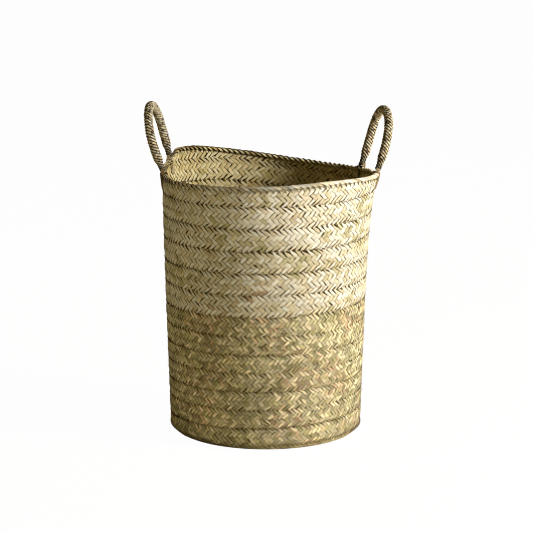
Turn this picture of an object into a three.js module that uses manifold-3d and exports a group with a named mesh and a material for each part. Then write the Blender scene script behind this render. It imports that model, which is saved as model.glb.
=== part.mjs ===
// A round laundry-size basket of plaited palm leaf with two wrapped rope handles.
// Two long plaited bands are wound in one rising helix and laced edge to edge. The first turn of the
// wall starts from nothing and the last one runs out to nothing, so both ends of the wall are level.
// The flat base is the same band wound in a spiral. Millimetres, +Z up, origin under the base's middle.
// The front of the basket faces -Y, and azimuths run from +X towards +Y.
import * as THREE from "three";
import { mergeVertices } from "three/addons/utils/BufferGeometryUtils.js";
import Module from "manifold-3d";

const wasm = await Module();
wasm.setup();

// Driving dimensions: wall
const footRadius = 179.5;        // outside radius of the wall just above its bottom corner
const wallTaper = 15.5;          // how much wider the wall is at the rim than at the foot
const rimFlare = 9;              // extra flare near the rim
const rimFlarePower = 6;         // how late the flare and the rim's own shape set in
const cornerRadius = 15;         // rounding between the wall and the base
const cornerSweepDeg = 75;       // how far the wall turns under at the corner
const lowerBandPitch = 34.6;     // rise per turn of the narrow, dense lower band
const upperBandPitch = 41;       // rise per turn of the wider upper band
const lowerRows = 7;             // full rows of the lower band, counted up one side
const upperRows = 6;             // full rows of the upper band
const windingStartDeg = 160;     // azimuth where the wall starts, changes band and ends
const bandCrown = 3;             // half thickness at the middle of a band
const bandEdge = 1.7;            // half thickness at a band's edges
const tipCrownShare = 0.125;     // crown of a tapered end, as a share of the width there

// Driving dimensions: seams
const laceRadius = 0.75;         // lacing cord in the seams
const clearance = 0.3;           // gap kept between pieces that touch
const edgeCordRadius = 1.7;      // overcasting cord between wall and base

// Driving dimensions: base
const baseThickness = 5;
const basePitch = 34.6;          // width of the band in the base spiral
const baseEyeRadius = 9;         // folded start of the spiral
const eyeOverlap = 1;            // how far the first turn reaches into the eye

// Driving dimensions: rim
const edgingHalfWidth = 4.4;     // half width of the plaited edging, through the wall
const edgingHalfHeight = 3.1;
const rimTilt = 8;               // rim and seams sit this much lower on the right, higher on the left
const backSag = { azimuth: 60, amount: -12, before: 40, after: 40 };
const endRise = { azimuth: 146, amount: 15, before: 35, after: 7.5 };
const leftTrim = { azimuth: 200, amount: -9, before: 40, after: 40 };
const frontRise = { azimuth: 315, amount: 8, before: 40, after: 40 };
const frontFlat = { azimuth: 298, amount: -16, before: 38, after: 38 };
const leftFlat = { azimuth: 178, amount: -12, before: 30, after: 30 };
const rightBulge = { azimuth: 5, amount: 5, before: 25, after: 25 };

// Driving dimensions: handles
const ropeRadius = 8;
const ropeFootRadius = 6;        // the rope thins towards its feet
const ropeFootLength = 12;       // and stays that thin over this length, clear of its tie
const ropeTaperLength = 34;      // distance from a foot where it has its full thickness
const coreRadius = 3.2;
const tieWidth = 7;              // leaf tie that straddles the rim under each foot
const tieThickness = 2.4;
const tieDrop = 30;              // how far below the edging's top the tie goes through the wall
const tieSlack = 0.7;            // extra room over the edging, which rises and falls under a tie
const tieBend = 2.4;             // bend of the tie at its corners
const footOutset = 3;            // feet stand this far outside the middle of the wall
const leftLoopRise = 105;
const rightLoopRise = 103.5;
const handles = [
  { name: "left", frontDeg: 191.5, backDeg: 157, rise: leftLoopRise, lean: 0.335, curl: 0.07, swell: 0.12, twist: 0.12 },
  { name: "right", frontDeg: 1, backDeg: 28, rise: rightLoopRise, lean: 0.385, curl: 0.11, swell: 0, twist: 0.05 },
];
const knuckleReach = 0.8;        // rounded rope end, as a share of its radius past the hinge point
const knuckleShoulder = 0.5;     // where that rounding starts, as the same share
const loopRoundness = 0.58;      // below 1 the legs stand straighter and the top is flatter

// Facets
const stepsPerTurn = 30;
const rimSteps = 2 * stepsPerTurn;
const tipShare = 0.1;            // share of a turn by which a tapered tip stops short
const laceTipShare = 0.2;        // the same for the lacing under the top turn
const edgeCordSides = 6;
const ropeSteps = 30;
const wrapSides = 8;
const coreSides = 6;
const loopSamples = 48;
const tieCornerSteps = 4;

// Derived sizes
const turns = lowerRows + upperRows + 1;
const spliceTurn = lowerRows + 1;
const wallSlant = lowerRows * lowerBandPitch + upperRows * upperBandPitch;
const cornerSweep = THREE.MathUtils.degToRad(cornerSweepDeg);
const cornerLength = cornerRadius * cornerSweep;
const cornerHeight = cornerRadius + bandCrown + clearance;
const wallTop = cornerHeight + wallSlant - cornerLength;
const seamGap = 2 * (laceRadius * Math.cos(Math.PI / 6) + clearance);
const wallFootRadius = footRadius - bandCrown - cornerRadius * (1 - Math.cos(cornerSweep));
const edgeCordRingRadius = wallFootRadius - clearance - edgeCordRadius;
const baseRadius = edgeCordRingRadius - edgeCordRadius - clearance;
const edgingRise = edgingHalfHeight + clearance;
const slotLength = 6 * bandCrown; // passes right through the wall
const facetSag = footRadius * (1 - Math.cos(Math.PI / stepsPerTurn)); // a facet's middle lies this far in

// A smooth rise or dip round the rim, with its own spread on either side of its middle.
function lobe(feature, azimuth) {
  const turnsAway = (azimuth - feature.azimuth) / 360;
  const away = 360 * (turnsAway - Math.round(turnsAway));
  const spread = away < 0 ? feature.before : feature.after;
  return feature.amount * Math.exp(-((away / spread) ** 2));
}

// The wall's middle surface: s runs up the slant from the foot, n stands out from the surface.
function wallPoint(s, azimuth, n) {
  const angle = THREE.MathUtils.degToRad(azimuth);
  let radius;
  let height;
  let outward;
  if (s < cornerLength) {
    const turn = (s - cornerLength) / cornerRadius;
    radius = footRadius - bandCrown - cornerRadius * (1 - Math.cos(turn));
    height = cornerHeight + cornerRadius * Math.sin(turn);
    outward = new THREE.Vector2(Math.cos(turn), Math.sin(turn));
  } else {
    height = cornerHeight + s - cornerLength;
    const part = (height - cornerHeight) / (wallTop - cornerHeight);
    radius = footRadius - bandCrown + wallTaper * part + rimFlare * part ** rimFlarePower;
    const slope = (wallTaper + rimFlare * rimFlarePower * part ** (rimFlarePower - 1)) / wallSlant;
    outward = new THREE.Vector2(1, -slope).normalize();
  }
  const up = Math.max(0, s / wallSlant);
  const plan = lobe(frontFlat, azimuth) + lobe(leftFlat, azimuth) + lobe(rightBulge, azimuth);
  const lift = lobe(backSag, azimuth) - rimTilt * Math.cos(angle);
  const r = radius + plan * up ** rimFlarePower + n * outward.x;
  const z = height + lift * up + n * outward.y;
  return new THREE.Vector3(r * Math.cos(angle), r * Math.sin(angle), z);
}

// Slant of the wall's top edge, where the edging sits.
function topEdge(azimuth) {
  return wallSlant + lobe(endRise, azimuth) + lobe(leftTrim, azimuth) + lobe(frontRise, azimuth);
}

// Slant of the seam under turn u of the helix. Each turn's top is the seam under the next one.
function seam(u) {
  const lower = THREE.MathUtils.clamp(u - 1, 0, lowerRows);
  return lowerBandPitch * lower + upperBandPitch * Math.max(0, u - 1 - lower);
}

function windingAzimuth(u) {
  return windingStartDeg + 360 * u;
}

// A closed body through rings of points. A loop joins its last ring to its first one.
function loft(rings, isLoop) {
  const sides = rings[0].length;
  const positions = rings.flat().flatMap((p) => [p.x, p.y, p.z]);
  const index = [];
  const spans = isLoop ? rings.length : rings.length - 1;
  for (let i = 0; i < spans; i += 1) {
    const a = i * sides;
    const b = ((i + 1) % rings.length) * sides;
    for (let j = 0; j < sides; j += 1) {
      const k = (j + 1) % sides;
      index.push(a + j, a + k, b + k, a + j, b + k, b + j);
    }
  }
  if (!isLoop) {
    const last = (rings.length - 1) * sides;
    for (let j = 1; j < sides - 1; j += 1) {
      index.push(0, j + 1, j, last, last + j, last + j + 1);
    }
  }
  return facingOut(positions, index);
}

// A hollow body between outer and inner rings, open at both ends.
function hollowLoft(outer, inner) {
  const sides = outer[0].length;
  const positions = [...outer, ...inner].flat().flatMap((p) => [p.x, p.y, p.z]);
  const index = [];
  const shift = outer.length * sides;
  const last = (outer.length - 1) * sides;
  for (let i = 0; i < outer.length - 1; i += 1) {
    for (let j = 0; j < sides; j += 1) {
      const k = (j + 1) % sides;
      const a = i * sides;
      const b = a + sides;
      index.push(a + j, a + k, b + k, a + j, b + k, b + j);
      index.push(shift + a + j, shift + b + k, shift + a + k, shift + a + j, shift + b + j, shift + b + k);
    }
  }
  for (let j = 0; j < sides; j += 1) {
    const k = (j + 1) % sides;
    index.push(j, shift + j, shift + k, j, shift + k, k);
    index.push(last + j, last + k, shift + last + k, last + j, shift + last + k, shift + last + j);
  }
  return facingOut(positions, index);
}

// Turns the faces round if they enclose a negative volume.
function facingOut(positions, index) {
  const corner = (i) => new THREE.Vector3().fromArray(positions, 3 * index[i]);
  let volume = 0;
  for (let i = 0; i < index.length; i += 3) {
    volume += corner(i).dot(corner(i + 1).cross(corner(i + 2)));
  }
  const geometry = new THREE.BufferGeometry();
  geometry.setAttribute("position", new THREE.Float32BufferAttribute(positions, 3));
  geometry.setIndex(volume < 0 ? index.reverse() : index);
  return geometry;
}

function toSolid(geometry) {
  const bare = geometry.clone();
  bare.deleteAttribute("normal");
  bare.deleteAttribute("uv");
  const merged = mergeVertices(bare);
  const vertProperties = new Float32Array(merged.attributes.position.array);
  const triVerts = new Uint32Array(merged.index.array);
  return new wasm.Manifold(new wasm.Mesh({ numProp: 3, vertProperties, triVerts }));
}

function toGeometry(solid) {
  const mesh = solid.getMesh();
  const geometry = new THREE.BufferGeometry();
  geometry.setAttribute("position", new THREE.BufferAttribute(mesh.vertProperties, 3));
  geometry.setIndex(new THREE.BufferAttribute(mesh.triVerts, 1));
  return geometry;
}

// Stations along a winding, in turns. Neighbouring turns have theirs at the same azimuths.
function stations(first, last, steps) {
  const list = [];
  for (let i = Math.ceil(first * steps); i <= last * steps; i += 1) {
    list.push(i / steps);
  }
  return list;
}

// Measures on the rings' points how far each turn of a winding lies from the next, and prints the least.
function printTurnGap(name, rings) {
  let least = Infinity;
  for (let i = 0; i + stepsPerTurn < rings.length; i += 1) {
    for (const point of rings[i]) {
      const gaps = rings[i + stepsPerTurn].map((other) => other.distanceTo(point));
      least = Math.min(least, ...gaps);
    }
  }
  console.log(`${name}: turns lie at least ${least.toFixed(2)} mm apart`);
}

// Lens-shaped section of a wall band at turn u, from slant low to slant high.
function bandRing(u, low, high) {
  const azimuth = windingAzimuth(u);
  const middle = (low + high) / 2;
  const crown = Math.min(bandCrown, bandEdge + (high - low) * tipCrownShare);
  return [
    wallPoint(low, azimuth, bandEdge),
    wallPoint(middle, azimuth, crown),
    wallPoint(high, azimuth, bandEdge),
    wallPoint(high, azimuth, -bandEdge),
    wallPoint(middle, azimuth, -crown),
    wallPoint(low, azimuth, -bandEdge),
  ];
}

// A turn between two seams. The first turn stands on the wall's level foot.
function seamedRing(u) {
  const low = seam(u) + (u < 1 ? 0 : seamGap / 2);
  const high = Math.min(seam(u + 1) - seamGap / 2, topEdge(windingAzimuth(u)));
  return bandRing(u, low, high);
}

// The top turn runs up to the edging.
function topRing(u) {
  return bandRing(u, seam(u) + seamGap / 2, topEdge(windingAzimuth(u)));
}

function lowerBand() {
  const spliceGap = clearance / (2 * Math.PI * footRadius);
  const rings = stations(tipShare, spliceTurn - spliceGap, stepsPerTurn).map(seamedRing);
  printTurnGap("wall_band_lower", rings);
  return loft([...rings, seamedRing(spliceTurn - spliceGap)], false);
}

function upperBand() {
  const full = stations(spliceTurn, turns - 1, stepsPerTurn).map(seamedRing);
  const top = stations(turns - 1, turns, rimSteps).slice(1, -1).map(topRing);
  printTurnGap("wall_band_upper", full);
  let solid = toSolid(loft([...full, ...top], false));
  for (const foot of allFeet()) {
    solid = solid.subtract(toSolid(tieHole(foot)));
  }
  return toGeometry(solid);
}

// Three-sided lacing cord at one point of a seam; up, out and along are the seam's own directions.
function laceRing(middle, out, up) {
  return [90, 210, 330].map((deg) => {
    const a = THREE.MathUtils.degToRad(deg);
    const spoke = out.clone().multiplyScalar(Math.sin(a)).addScaledVector(up, Math.cos(a));
    return middle.clone().addScaledVector(spoke, laceRadius);
  });
}

function wallLace() {
  const rings = stations(1 + tipShare, turns - laceTipShare, stepsPerTurn).map((u) => {
    const azimuth = windingAzimuth(u);
    const middle = wallPoint(seam(u), azimuth, 0);
    const out = wallPoint(seam(u), azimuth, 1).sub(middle).normalize();
    const up = wallPoint(seam(u) + 1, azimuth, 0).sub(wallPoint(seam(u) - 1, azimuth, 0)).normalize();
    return laceRing(middle, out, up);
  });
  printTurnGap("wall_seam_cord", rings);
  return loft(rings, false);
}

// Base spiral: inner edge of turn u. The eye at the middle stands in for a turn of no width.
const baseTurns = 1 + (baseRadius - baseEyeRadius) / basePitch;

function baseSeam(u) {
  return baseEyeRadius + basePitch * Math.max(0, u - 1);
}

function basePoint(radius, azimuth, z) {
  const angle = THREE.MathUtils.degToRad(azimuth);
  return new THREE.Vector3(radius * Math.cos(angle), radius * Math.sin(angle), z);
}

function baseSpiral() {
  const rings = stations(tipShare, baseTurns - tipShare, stepsPerTurn).map((u) => {
    const azimuth = windingAzimuth(u);
    const inner = baseSeam(u) + (u < 1 ? -eyeOverlap : seamGap / 2);
    const outer = Math.min(baseSeam(u + 1) - seamGap / 2, baseRadius);
    return [
      basePoint(inner, azimuth, 0),
      basePoint(outer, azimuth, 0),
      basePoint(outer, azimuth, baseThickness),
      basePoint(inner, azimuth, baseThickness),
    ];
  });
  printTurnGap("base_spiral", rings);
  const eye = new THREE.CylinderGeometry(baseEyeRadius, baseEyeRadius, baseThickness, stepsPerTurn);
  eye.rotateX(Math.PI / 2);
  eye.translate(0, 0, baseThickness / 2);
  return toGeometry(toSolid(loft(rings, false)).add(toSolid(eye)));
}

function baseLace() {
  const up = new THREE.Vector3(0, 0, 1);
  const rings = stations(1 + tipShare, baseTurns - tipShare, stepsPerTurn).map((u) => {
    const azimuth = windingAzimuth(u);
    const middle = basePoint(baseSeam(u), azimuth, baseThickness / 2);
    const out = basePoint(1, azimuth, 0);
    return laceRing(middle, up, out);
  });
  printTurnGap("base_seam_cord", rings);
  return loft(rings, false);
}

function edgeCord() {
  const rings = stations(0, 1, stepsPerTurn).slice(1).map((u) => {
    const ring = [];
    for (let i = 0; i < edgeCordSides; i += 1) {
      const a = (2 * Math.PI * i) / edgeCordSides;
      const radius = edgeCordRingRadius + edgeCordRadius * Math.cos(a);
      ring.push(basePoint(radius, windingAzimuth(u), baseThickness / 2 + edgeCordRadius * Math.sin(a)));
    }
    return ring;
  });
  return loft(rings, true);
}

// Plaited edging over the wall's top edge: a closed ring of flattened section.
function rimEdging() {
  const shape = [[1, 0], [0.6, 1], [-0.6, 1], [-1, 0], [-0.6, -1], [0.6, -1]];
  const rings = stations(0, 1, rimSteps).slice(1).map((u) => {
    const azimuth = windingAzimuth(u);
    const s = topEdge(azimuth) + edgingRise;
    return shape.map(([n, h]) => wallPoint(s + h * edgingHalfHeight, azimuth, n * edgingHalfWidth));
  });
  return loft(rings, true);
}

// Where each handle leg stands: on the rim, with the hinge point above the tie that holds it.
function makeFoot(azimuth) {
  const top = topEdge(azimuth) + edgingRise + edgingHalfHeight;
  const hingeRise = clearance + tieSlack + tieThickness + clearance + ropeFootRadius;
  return {
    azimuth,
    top,
    hinge: wallPoint(top, azimuth, footOutset).add(new THREE.Vector3(0, 0, hingeRise)),
  };
}

function allFeet() {
  return handles.flatMap((handle) => [makeFoot(handle.frontDeg), makeFoot(handle.backDeg)]);
}

// Frame of a tie: along the rim as it runs there, up the wall, and out through it.
function tieFrame(foot) {
  const rimPoint = (azimuth) => wallPoint(topEdge(azimuth) + edgingRise, azimuth, 0);
  const halfStep = 360 / rimSteps / 2;
  const s = foot.top - tieDrop / 2;
  const origin = wallPoint(s, foot.azimuth, 0);
  const along = rimPoint(foot.azimuth + halfStep).sub(rimPoint(foot.azimuth - halfStep)).normalize();
  const up = wallPoint(foot.top, foot.azimuth, 0).sub(wallPoint(foot.top - tieDrop, foot.azimuth, 0));
  up.addScaledVector(along, -up.dot(along)).normalize();
  return { origin, out: new THREE.Vector3().crossVectors(along, up), up, along };
}

// A flat leaf tie that runs over the rim and through the wall: a loop of flat section, drawn in towards
// the wall below the rim.
function tie(foot) {
  const { origin, out, up, along } = tieFrame(foot);
  const halfSpan = edgingHalfWidth + clearance + tieSlack + tieThickness / 2;
  const lowHalfSpan = bandCrown + tieSlack + facetSag + tieThickness / 2;
  const topLine = tieDrop / 2 + clearance + tieSlack + tieThickness / 2;
  const bottomLine = -tieDrop / 2;
  const corners = [
    [halfSpan - tieBend, topLine - tieBend, 0],
    [-halfSpan + tieBend, topLine - tieBend, 90],
    [-lowHalfSpan + tieBend, bottomLine + tieBend, 180],
    [lowHalfSpan - tieBend, bottomLine + tieBend, 270],
  ];
  const rings = [];
  for (const [cx, cy, startDeg] of corners) {
    for (let i = 0; i <= tieCornerSteps; i += 1) {
      const a = THREE.MathUtils.degToRad(startDeg + (90 * i) / tieCornerSteps);
      const ring = [[1, 1], [1, -1], [-1, -1], [-1, 1]].map(([side, skin]) => {
        const reach = tieBend + (skin * tieThickness) / 2;
        return origin.clone()
          .addScaledVector(out, cx + reach * Math.cos(a))
          .addScaledVector(up, cy + reach * Math.sin(a))
          .addScaledVector(along, (side * tieWidth) / 2);
      });
      rings.push(ring);
    }
  }
  return loft(rings, true);
}

// The slot through the wall that the tie's lower run passes through.
function tieHole(foot) {
  const { origin, out, up, along } = tieFrame(foot);
  const slot = new THREE.BoxGeometry(1, 1, 1);
  const place = new THREE.Matrix4().makeBasis(
    out.clone().multiplyScalar(slotLength),
    along.clone().multiplyScalar(tieWidth + 2 * clearance),
    up.clone().multiplyScalar(tieThickness + 2 * clearance),
  );
  place.setPosition(origin.clone().addScaledVector(up, -tieDrop / 2));
  return slot.applyMatrix4(place);
}

// Middle line of a handle loop, from its front foot over the top to its back foot.
function loopPath(handle) {
  const front = makeFoot(handle.frontDeg).hinge;
  const back = makeFoot(handle.backDeg).hinge;
  const middle = front.clone().add(back).multiplyScalar(0.5);
  const chord = back.clone().sub(front);
  const half = chord.length() / 2;
  chord.normalize();
  const out = new THREE.Vector3().crossVectors(chord, new THREE.Vector3(0, 0, 1)).normalize();
  if (out.dot(middle) < 0) {
    out.negate();
  }
  const up = new THREE.Vector3().crossVectors(out, chord);
  up.multiplyScalar(Math.sign(up.z));
  const points = [];
  for (let i = 0; i <= loopSamples; i += 1) {
    const turn = (Math.PI * i) / loopSamples;
    const t = Math.abs(Math.sin(turn)) ** loopRoundness;
    const across = -half * Math.cos(turn) * (1 + 4 * handle.swell * t * (1 - t));
    const lean = handle.rise * (handle.lean * t - handle.curl * t * t) * (1 - (handle.twist * across) / half);
    points.push(middle.clone().addScaledVector(chord, across)
      .addScaledVector(up, handle.rise * t).addScaledVector(out, lean));
  }
  return { curve: new THREE.CatmullRomCurve3(points), sideways: out };
}

// Rings round the loop's middle line. The ends run on below the hinge points as round knuckles.
function ropeRings(handle, sides, radiusAt, knuckle) {
  const { curve, sideways } = loopPath(handle);
  const length = curve.getLength();
  const rings = [];
  const ringAt = (point, tangent, radius) => {
    const side = sideways.clone().addScaledVector(tangent, -sideways.dot(tangent)).normalize();
    const other = new THREE.Vector3().crossVectors(tangent, side);
    const ring = [];
    for (let j = 0; j < sides; j += 1) {
      const a = (2 * Math.PI * j) / sides;
      const spoke = side.clone().multiplyScalar(Math.cos(a)).addScaledVector(other, Math.sin(a));
      ring.push(point.clone().addScaledVector(spoke, radius));
    }
    return ring;
  };
  const start = curve.getPointAt(0);
  const startTangent = curve.getTangentAt(0);
  const end = curve.getPointAt(1);
  const endTangent = curve.getTangentAt(1);
  for (const [reach, radius] of [...knuckle].reverse()) {
    rings.push(ringAt(start.clone().addScaledVector(startTangent, -reach), startTangent, radius));
  }
  for (let i = 0; i <= ropeSteps; i += 1) {
    const share = i / ropeSteps;
    const fromFoot = length * Math.min(share, 1 - share);
    rings.push(ringAt(curve.getPointAt(share), curve.getTangentAt(share), radiusAt(fromFoot)));
  }
  for (const [reach, radius] of knuckle) {
    rings.push(ringAt(end.clone().addScaledVector(endTangent, reach), endTangent, radius));
  }
  return rings;
}

function ropeWrap(handle) {
  const outside = (fromFoot) => {
    const grown = THREE.MathUtils.smoothstep(fromFoot, ropeFootLength, ropeTaperLength);
    return ropeFootRadius + (ropeRadius - ropeFootRadius) * grown;
  };
  const bore = (coreRadius + clearance) / Math.cos(Math.PI / wrapSides);
  const knuckle = [knuckleShoulder, knuckleReach].map((share) => {
    const reach = share * ropeFootRadius;
    return [reach, Math.sqrt(ropeFootRadius ** 2 - reach ** 2)];
  });
  const outer = ropeRings(handle, wrapSides, outside, knuckle);
  const inner = ropeRings(handle, wrapSides, () => bore, knuckle.map(([reach]) => [reach, bore]));
  return hollowLoft(outer, inner);
}

function ropeCore(handle) {
  const ends = [[knuckleReach * ropeFootRadius, coreRadius]];
  return loft(ropeRings(handle, coreSides, () => coreRadius, ends), false);
}

// Materials
const greenLeaf = new THREE.MeshStandardMaterial({ color: 0xa69b62, roughness: 0.75, metalness: 0 });
const paleLeaf = new THREE.MeshStandardMaterial({ color: 0xc9b987, roughness: 0.72, metalness: 0 });
const lacingLeaf = new THREE.MeshStandardMaterial({ color: 0x8a7a4e, roughness: 0.85, metalness: 0 });
const ropeLeaf = new THREE.MeshStandardMaterial({ color: 0xa08a5c, roughness: 0.85, metalness: 0 });

const basket = new THREE.Group();

function addPiece(name, geometry, material) {
  const mesh = new THREE.Mesh(geometry, material);
  mesh.name = name;
  basket.add(mesh);
}

addPiece("base_spiral", baseSpiral(), greenLeaf);
addPiece("base_seam_cord", baseLace(), lacingLeaf);
addPiece("base_edge_cord", edgeCord(), lacingLeaf);
addPiece("wall_band_lower", lowerBand(), greenLeaf);
addPiece("wall_band_upper", upperBand(), paleLeaf);
addPiece("wall_seam_cord", wallLace(), lacingLeaf);
addPiece("rim_edging", rimEdging(), paleLeaf);
for (const handle of handles) {
  addPiece(`${handle.name}_front_tie`, tie(makeFoot(handle.frontDeg)), paleLeaf);
  addPiece(`${handle.name}_back_tie`, tie(makeFoot(handle.backDeg)), paleLeaf);
  addPiece(`${handle.name}_handle_core`, ropeCore(handle), lacingLeaf);
  addPiece(`${handle.name}_handle_wrap`, ropeWrap(handle), ropeLeaf);
}

export default basket;
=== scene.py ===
"""A palm leaf basket: plaited bands sewn in a spiral, a bound rim and two laid rope handles.

Every strand of the plait is modelled. A strand runs slantwise from edge to edge of its band, over two
strands and under two, and folds back at each edge. Metres, +Z up, the basket's front faces -Y.
"""

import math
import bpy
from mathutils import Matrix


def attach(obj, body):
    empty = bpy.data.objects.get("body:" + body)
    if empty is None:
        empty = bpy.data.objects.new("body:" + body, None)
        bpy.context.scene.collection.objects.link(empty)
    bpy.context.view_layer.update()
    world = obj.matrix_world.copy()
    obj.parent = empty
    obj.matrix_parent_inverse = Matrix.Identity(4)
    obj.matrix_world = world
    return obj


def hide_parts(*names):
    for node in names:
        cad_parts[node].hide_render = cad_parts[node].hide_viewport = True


bl_info = {
    "name": "Palm leaf basket",
    "version": (1, 0, 0),
    "blender": (4, 5, 0),
    "location": "View3D > Sidebar > Basket",
    "description": "Plaits, laces and wraps a palm leaf basket round its construction",
    "category": "Object",
}

import bmesh
import bpy
import numpy as np
from mathutils import Vector

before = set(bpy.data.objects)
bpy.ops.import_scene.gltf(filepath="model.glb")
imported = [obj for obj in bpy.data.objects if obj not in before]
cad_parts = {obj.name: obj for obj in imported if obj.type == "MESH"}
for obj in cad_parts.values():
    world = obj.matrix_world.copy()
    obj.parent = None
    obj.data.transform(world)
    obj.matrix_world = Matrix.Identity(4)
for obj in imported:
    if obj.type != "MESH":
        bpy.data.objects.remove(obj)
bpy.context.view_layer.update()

PHOTO_SIDE = 533
TURN = 2 * math.pi

# Rises and dips round the rim: azimuth of the middle, amount, spread before it and after it.
BACK_SAG = (60, -0.012, 40, 40)
END_RISE = (146, 0.015, 35, 7.5)
LEFT_TRIM = (200, -0.009, 40, 40)
FRONT_RISE = (315, 0.008, 40, 40)
FRONT_FLAT = (298, -0.016, 38, 38)
LEFT_FLAT = (178, -0.012, 30, 30)
RIGHT_BULGE = (5, 0.005, 25, 25)

# A strand's course, in rows of the plait. A band is PLAIT_ROWS wide from fold to fold, and its edge rows are
# wider. The strand changes sides at DIVES, coming up at RISING_DIVES, and turns back at FOLDS.
PLAIT_ROWS = 4.5
EDGE_ROW = 1.25
DIVES = (2.25, 3.25, 5.75, 6.75, 7.75, 10.25, 11.25)
RISING_DIVES = (2.25, 6.75, 11.25)
FOLDS = (4.5, 9.0)

# Its stations: parts of the way from one of these places to the next, and rows to each side of a fold.
FLOAT_STEPS = (0.0, 0.07, 0.14, 0.5, 0.86, 0.93)
FOLD_STEP = 0.1

# Rows from a fold over which a strand turns its width, narrows and stays level, and rows from a fold or dive
# over which it comes to bow out fully.
SKEW_REACH = 0.65
PINCH_REACH = 0.45
LEVEL_REACH = 0.3
BOW_REACH = 0.5

# How much painted shade a fold takes, as a share of a dive's.
FOLD_SHADE = 0.5

# A strand's section as shares of its half width and half thickness, the same points on the leaf map, and its
# narrow faces, marked 1, which take the painted shade along a strand's edges.
SECTION_ACROSS = np.array([-1, -0.9, 0.9, 1, 0.9, -0.9])
SECTION_RISE = np.array([0, 1, 1, 0, -1, -1])
SECTION_MAP = np.array([0, 0.05, 0.95, 1, 1.05, 1.95, 2.0])
BEVELS = np.array([1, 0, 1, 1, 0, 1])

# How strands vary in a row: they widen less than they narrow, few are pinched hard, and they stray along the
# band, across it and out of it by these shares of the wobble. Noise between the gap values opens a gap. Each
# strand reads its noise up to APART metres off, and the floats of one strand have numbers of their own.
WIDENING = 0.3
PINCH_POWER = 3.0
STRAY_SHARES = (2.0, 2.0, 0.7)
GAP_NOISE = (0.55, 0.75)
APART = 0.02
FLOATS_PER_STRAND = 16.0
SEEDS = {"tone": 1, "shade": 2, "tight": 3, "apart": 5, "binding": 7, "pinch": 9, "plait": 11}

# Painted shade on a laid cord, where its surface turns away from the rope's outside and where it is thin.
TURNED_AWAY = (0.9, 0.5)
THIN_CORD = (-0.02, -0.14)
THIN_SHADE = 0.9

# Angles over which a binding strip goes round the rim, from below outside over the top to below inside.
BINDING_SWEEP = (-60, 240)
BINDING_STEPS = 20

# Points along a winding and along a handle's arch, steps round the rim, and the steps that tell which way a
# handle's end points.
WINDING_POINTS = 600
LOOP_POINTS = 400
RIM_STEPS = 720
END_STEPS = 3

# Sheets of painted shade inside the bands, the rim and the foot cord: points in a turn of a band and rows
# across it, steps round the rings and sides of their section, and how many clearances the ring at the foot
# reaches past its cord.
SHADE_SHEET_POINTS = 160
SHADE_SHEET_ROWS = 4
RIM_SHADE_SHEET_STEPS = 360
FOOT_SHADE_SHEET_STEPS = 180
SHADE_SHEET_SIDES = 12
SHADE_SHEET_LAP = 1.5

# Sides of the lacing cord and of the stitches round the foot, and steps along a strand of the base's eye.
LACING_SIDES = 4
STITCH_SIDES = 5
EYE_STEPS = 24

# Margin of a strand's rectangle in the baked picture, as a share of it.
BAKE_MARGIN = 0.03

# Distance in metres over which the wall's directions are measured.
PROBE = 0.001

# Turns by which lacing starts late and stops early, where a band has hardly begun or runs out.
LACING_LATE = 0.1
WALL_LACING_EARLY = 0.2
BASE_LACING_EARLY = 0.1

# Turns at which the long bands are parted into pieces, from the foot and from the splice.
LOWER_PARTINGS = (1, 3.4, 5.7)
UPPER_PARTING = 2.5

# Shares of the eye's radius where the base's strands start, and of a turn's radius by which they are spaced.
EYE_LAP = 0.9
SPACED_SHARE = 0.7

# Loose strips: how much painted shade their edges take, and how tone and shade step from one strip to the
# next.
LOOSE_EDGE_SHADE = 0.3
TONE_STEP = 0.37
SHADE_STEP = 0.61
SHADE_START = 0.4

# A rope's points and the sides of its cords, and the same for the bundle of plies inside it. A ply's radius
# is a share of the bundle's and its lead of the rope's. ROUND_END stops a rope's round end short of a point.
ROUND_END = 0.95
WRAP_POINTS = 440
WRAP_SIDES = 10
CORE_POINTS = 150
CORE_SIDES = 6
CORE_PLIES = 3
PLY_RADIUS = 0.48
PLY_LEAD = 0.7

# A tie's leaves. Each starts a little further round the tie's path, laps over its own start, narrows on its
# way down and closes in on the wall in one of three ways. Widths and thicknesses are shares of the tie's.
# TIE_SIGHT is how many degrees to each side of a foot the rim is looked at to find its direction.
TIE_LEAVES = 5
TIE_POINTS = 64
TIE_ROUNDS = 3
TIE_BEND_STEP = 15
TIE_START = 0.1
TIE_START_STEP = 0.02
TIE_LAP = 1.04
TIE_CLOSING = (0.6, 1.5, 3.0)
TIE_CLOSED = 0.5
TIE_GATHERED = 0.4
TIE_LEAF_LOW = 0.6
TIE_LEAF_GROWTH = 0.45
TIE_LEAF_HALF = 1 / 8
TIE_LEAF_SKIN = 1 / 3
TIE_SIGHT = 3.0

# A lashing's loops, how square they are, 1 being an ellipse, and its tone as a share of its tie's.
LASHES = 3
LASH_POINTS = 41
LASH_SQUARENESS = 0.6
LASH_TONE = 1 / 3


def length(name, description, default):
    return bpy.props.FloatProperty(name=name, description=description, default=default, unit="LENGTH")


def angle(name, description, degrees):
    default = math.radians(degrees)
    return bpy.props.FloatProperty(name=name, description=description, default=default, unit="ROTATION")


def share(name, description, default):
    return bpy.props.FloatProperty(name=name, description=description, default=default)


def integer(name, description, default):
    return bpy.props.IntProperty(name=name, description=description, default=default)


def colour(name, description, default):
    return bpy.props.FloatVectorProperty(
        name=name, description=description, default=default, subtype="COLOR", size=3, min=0, max=1
    )


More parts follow.
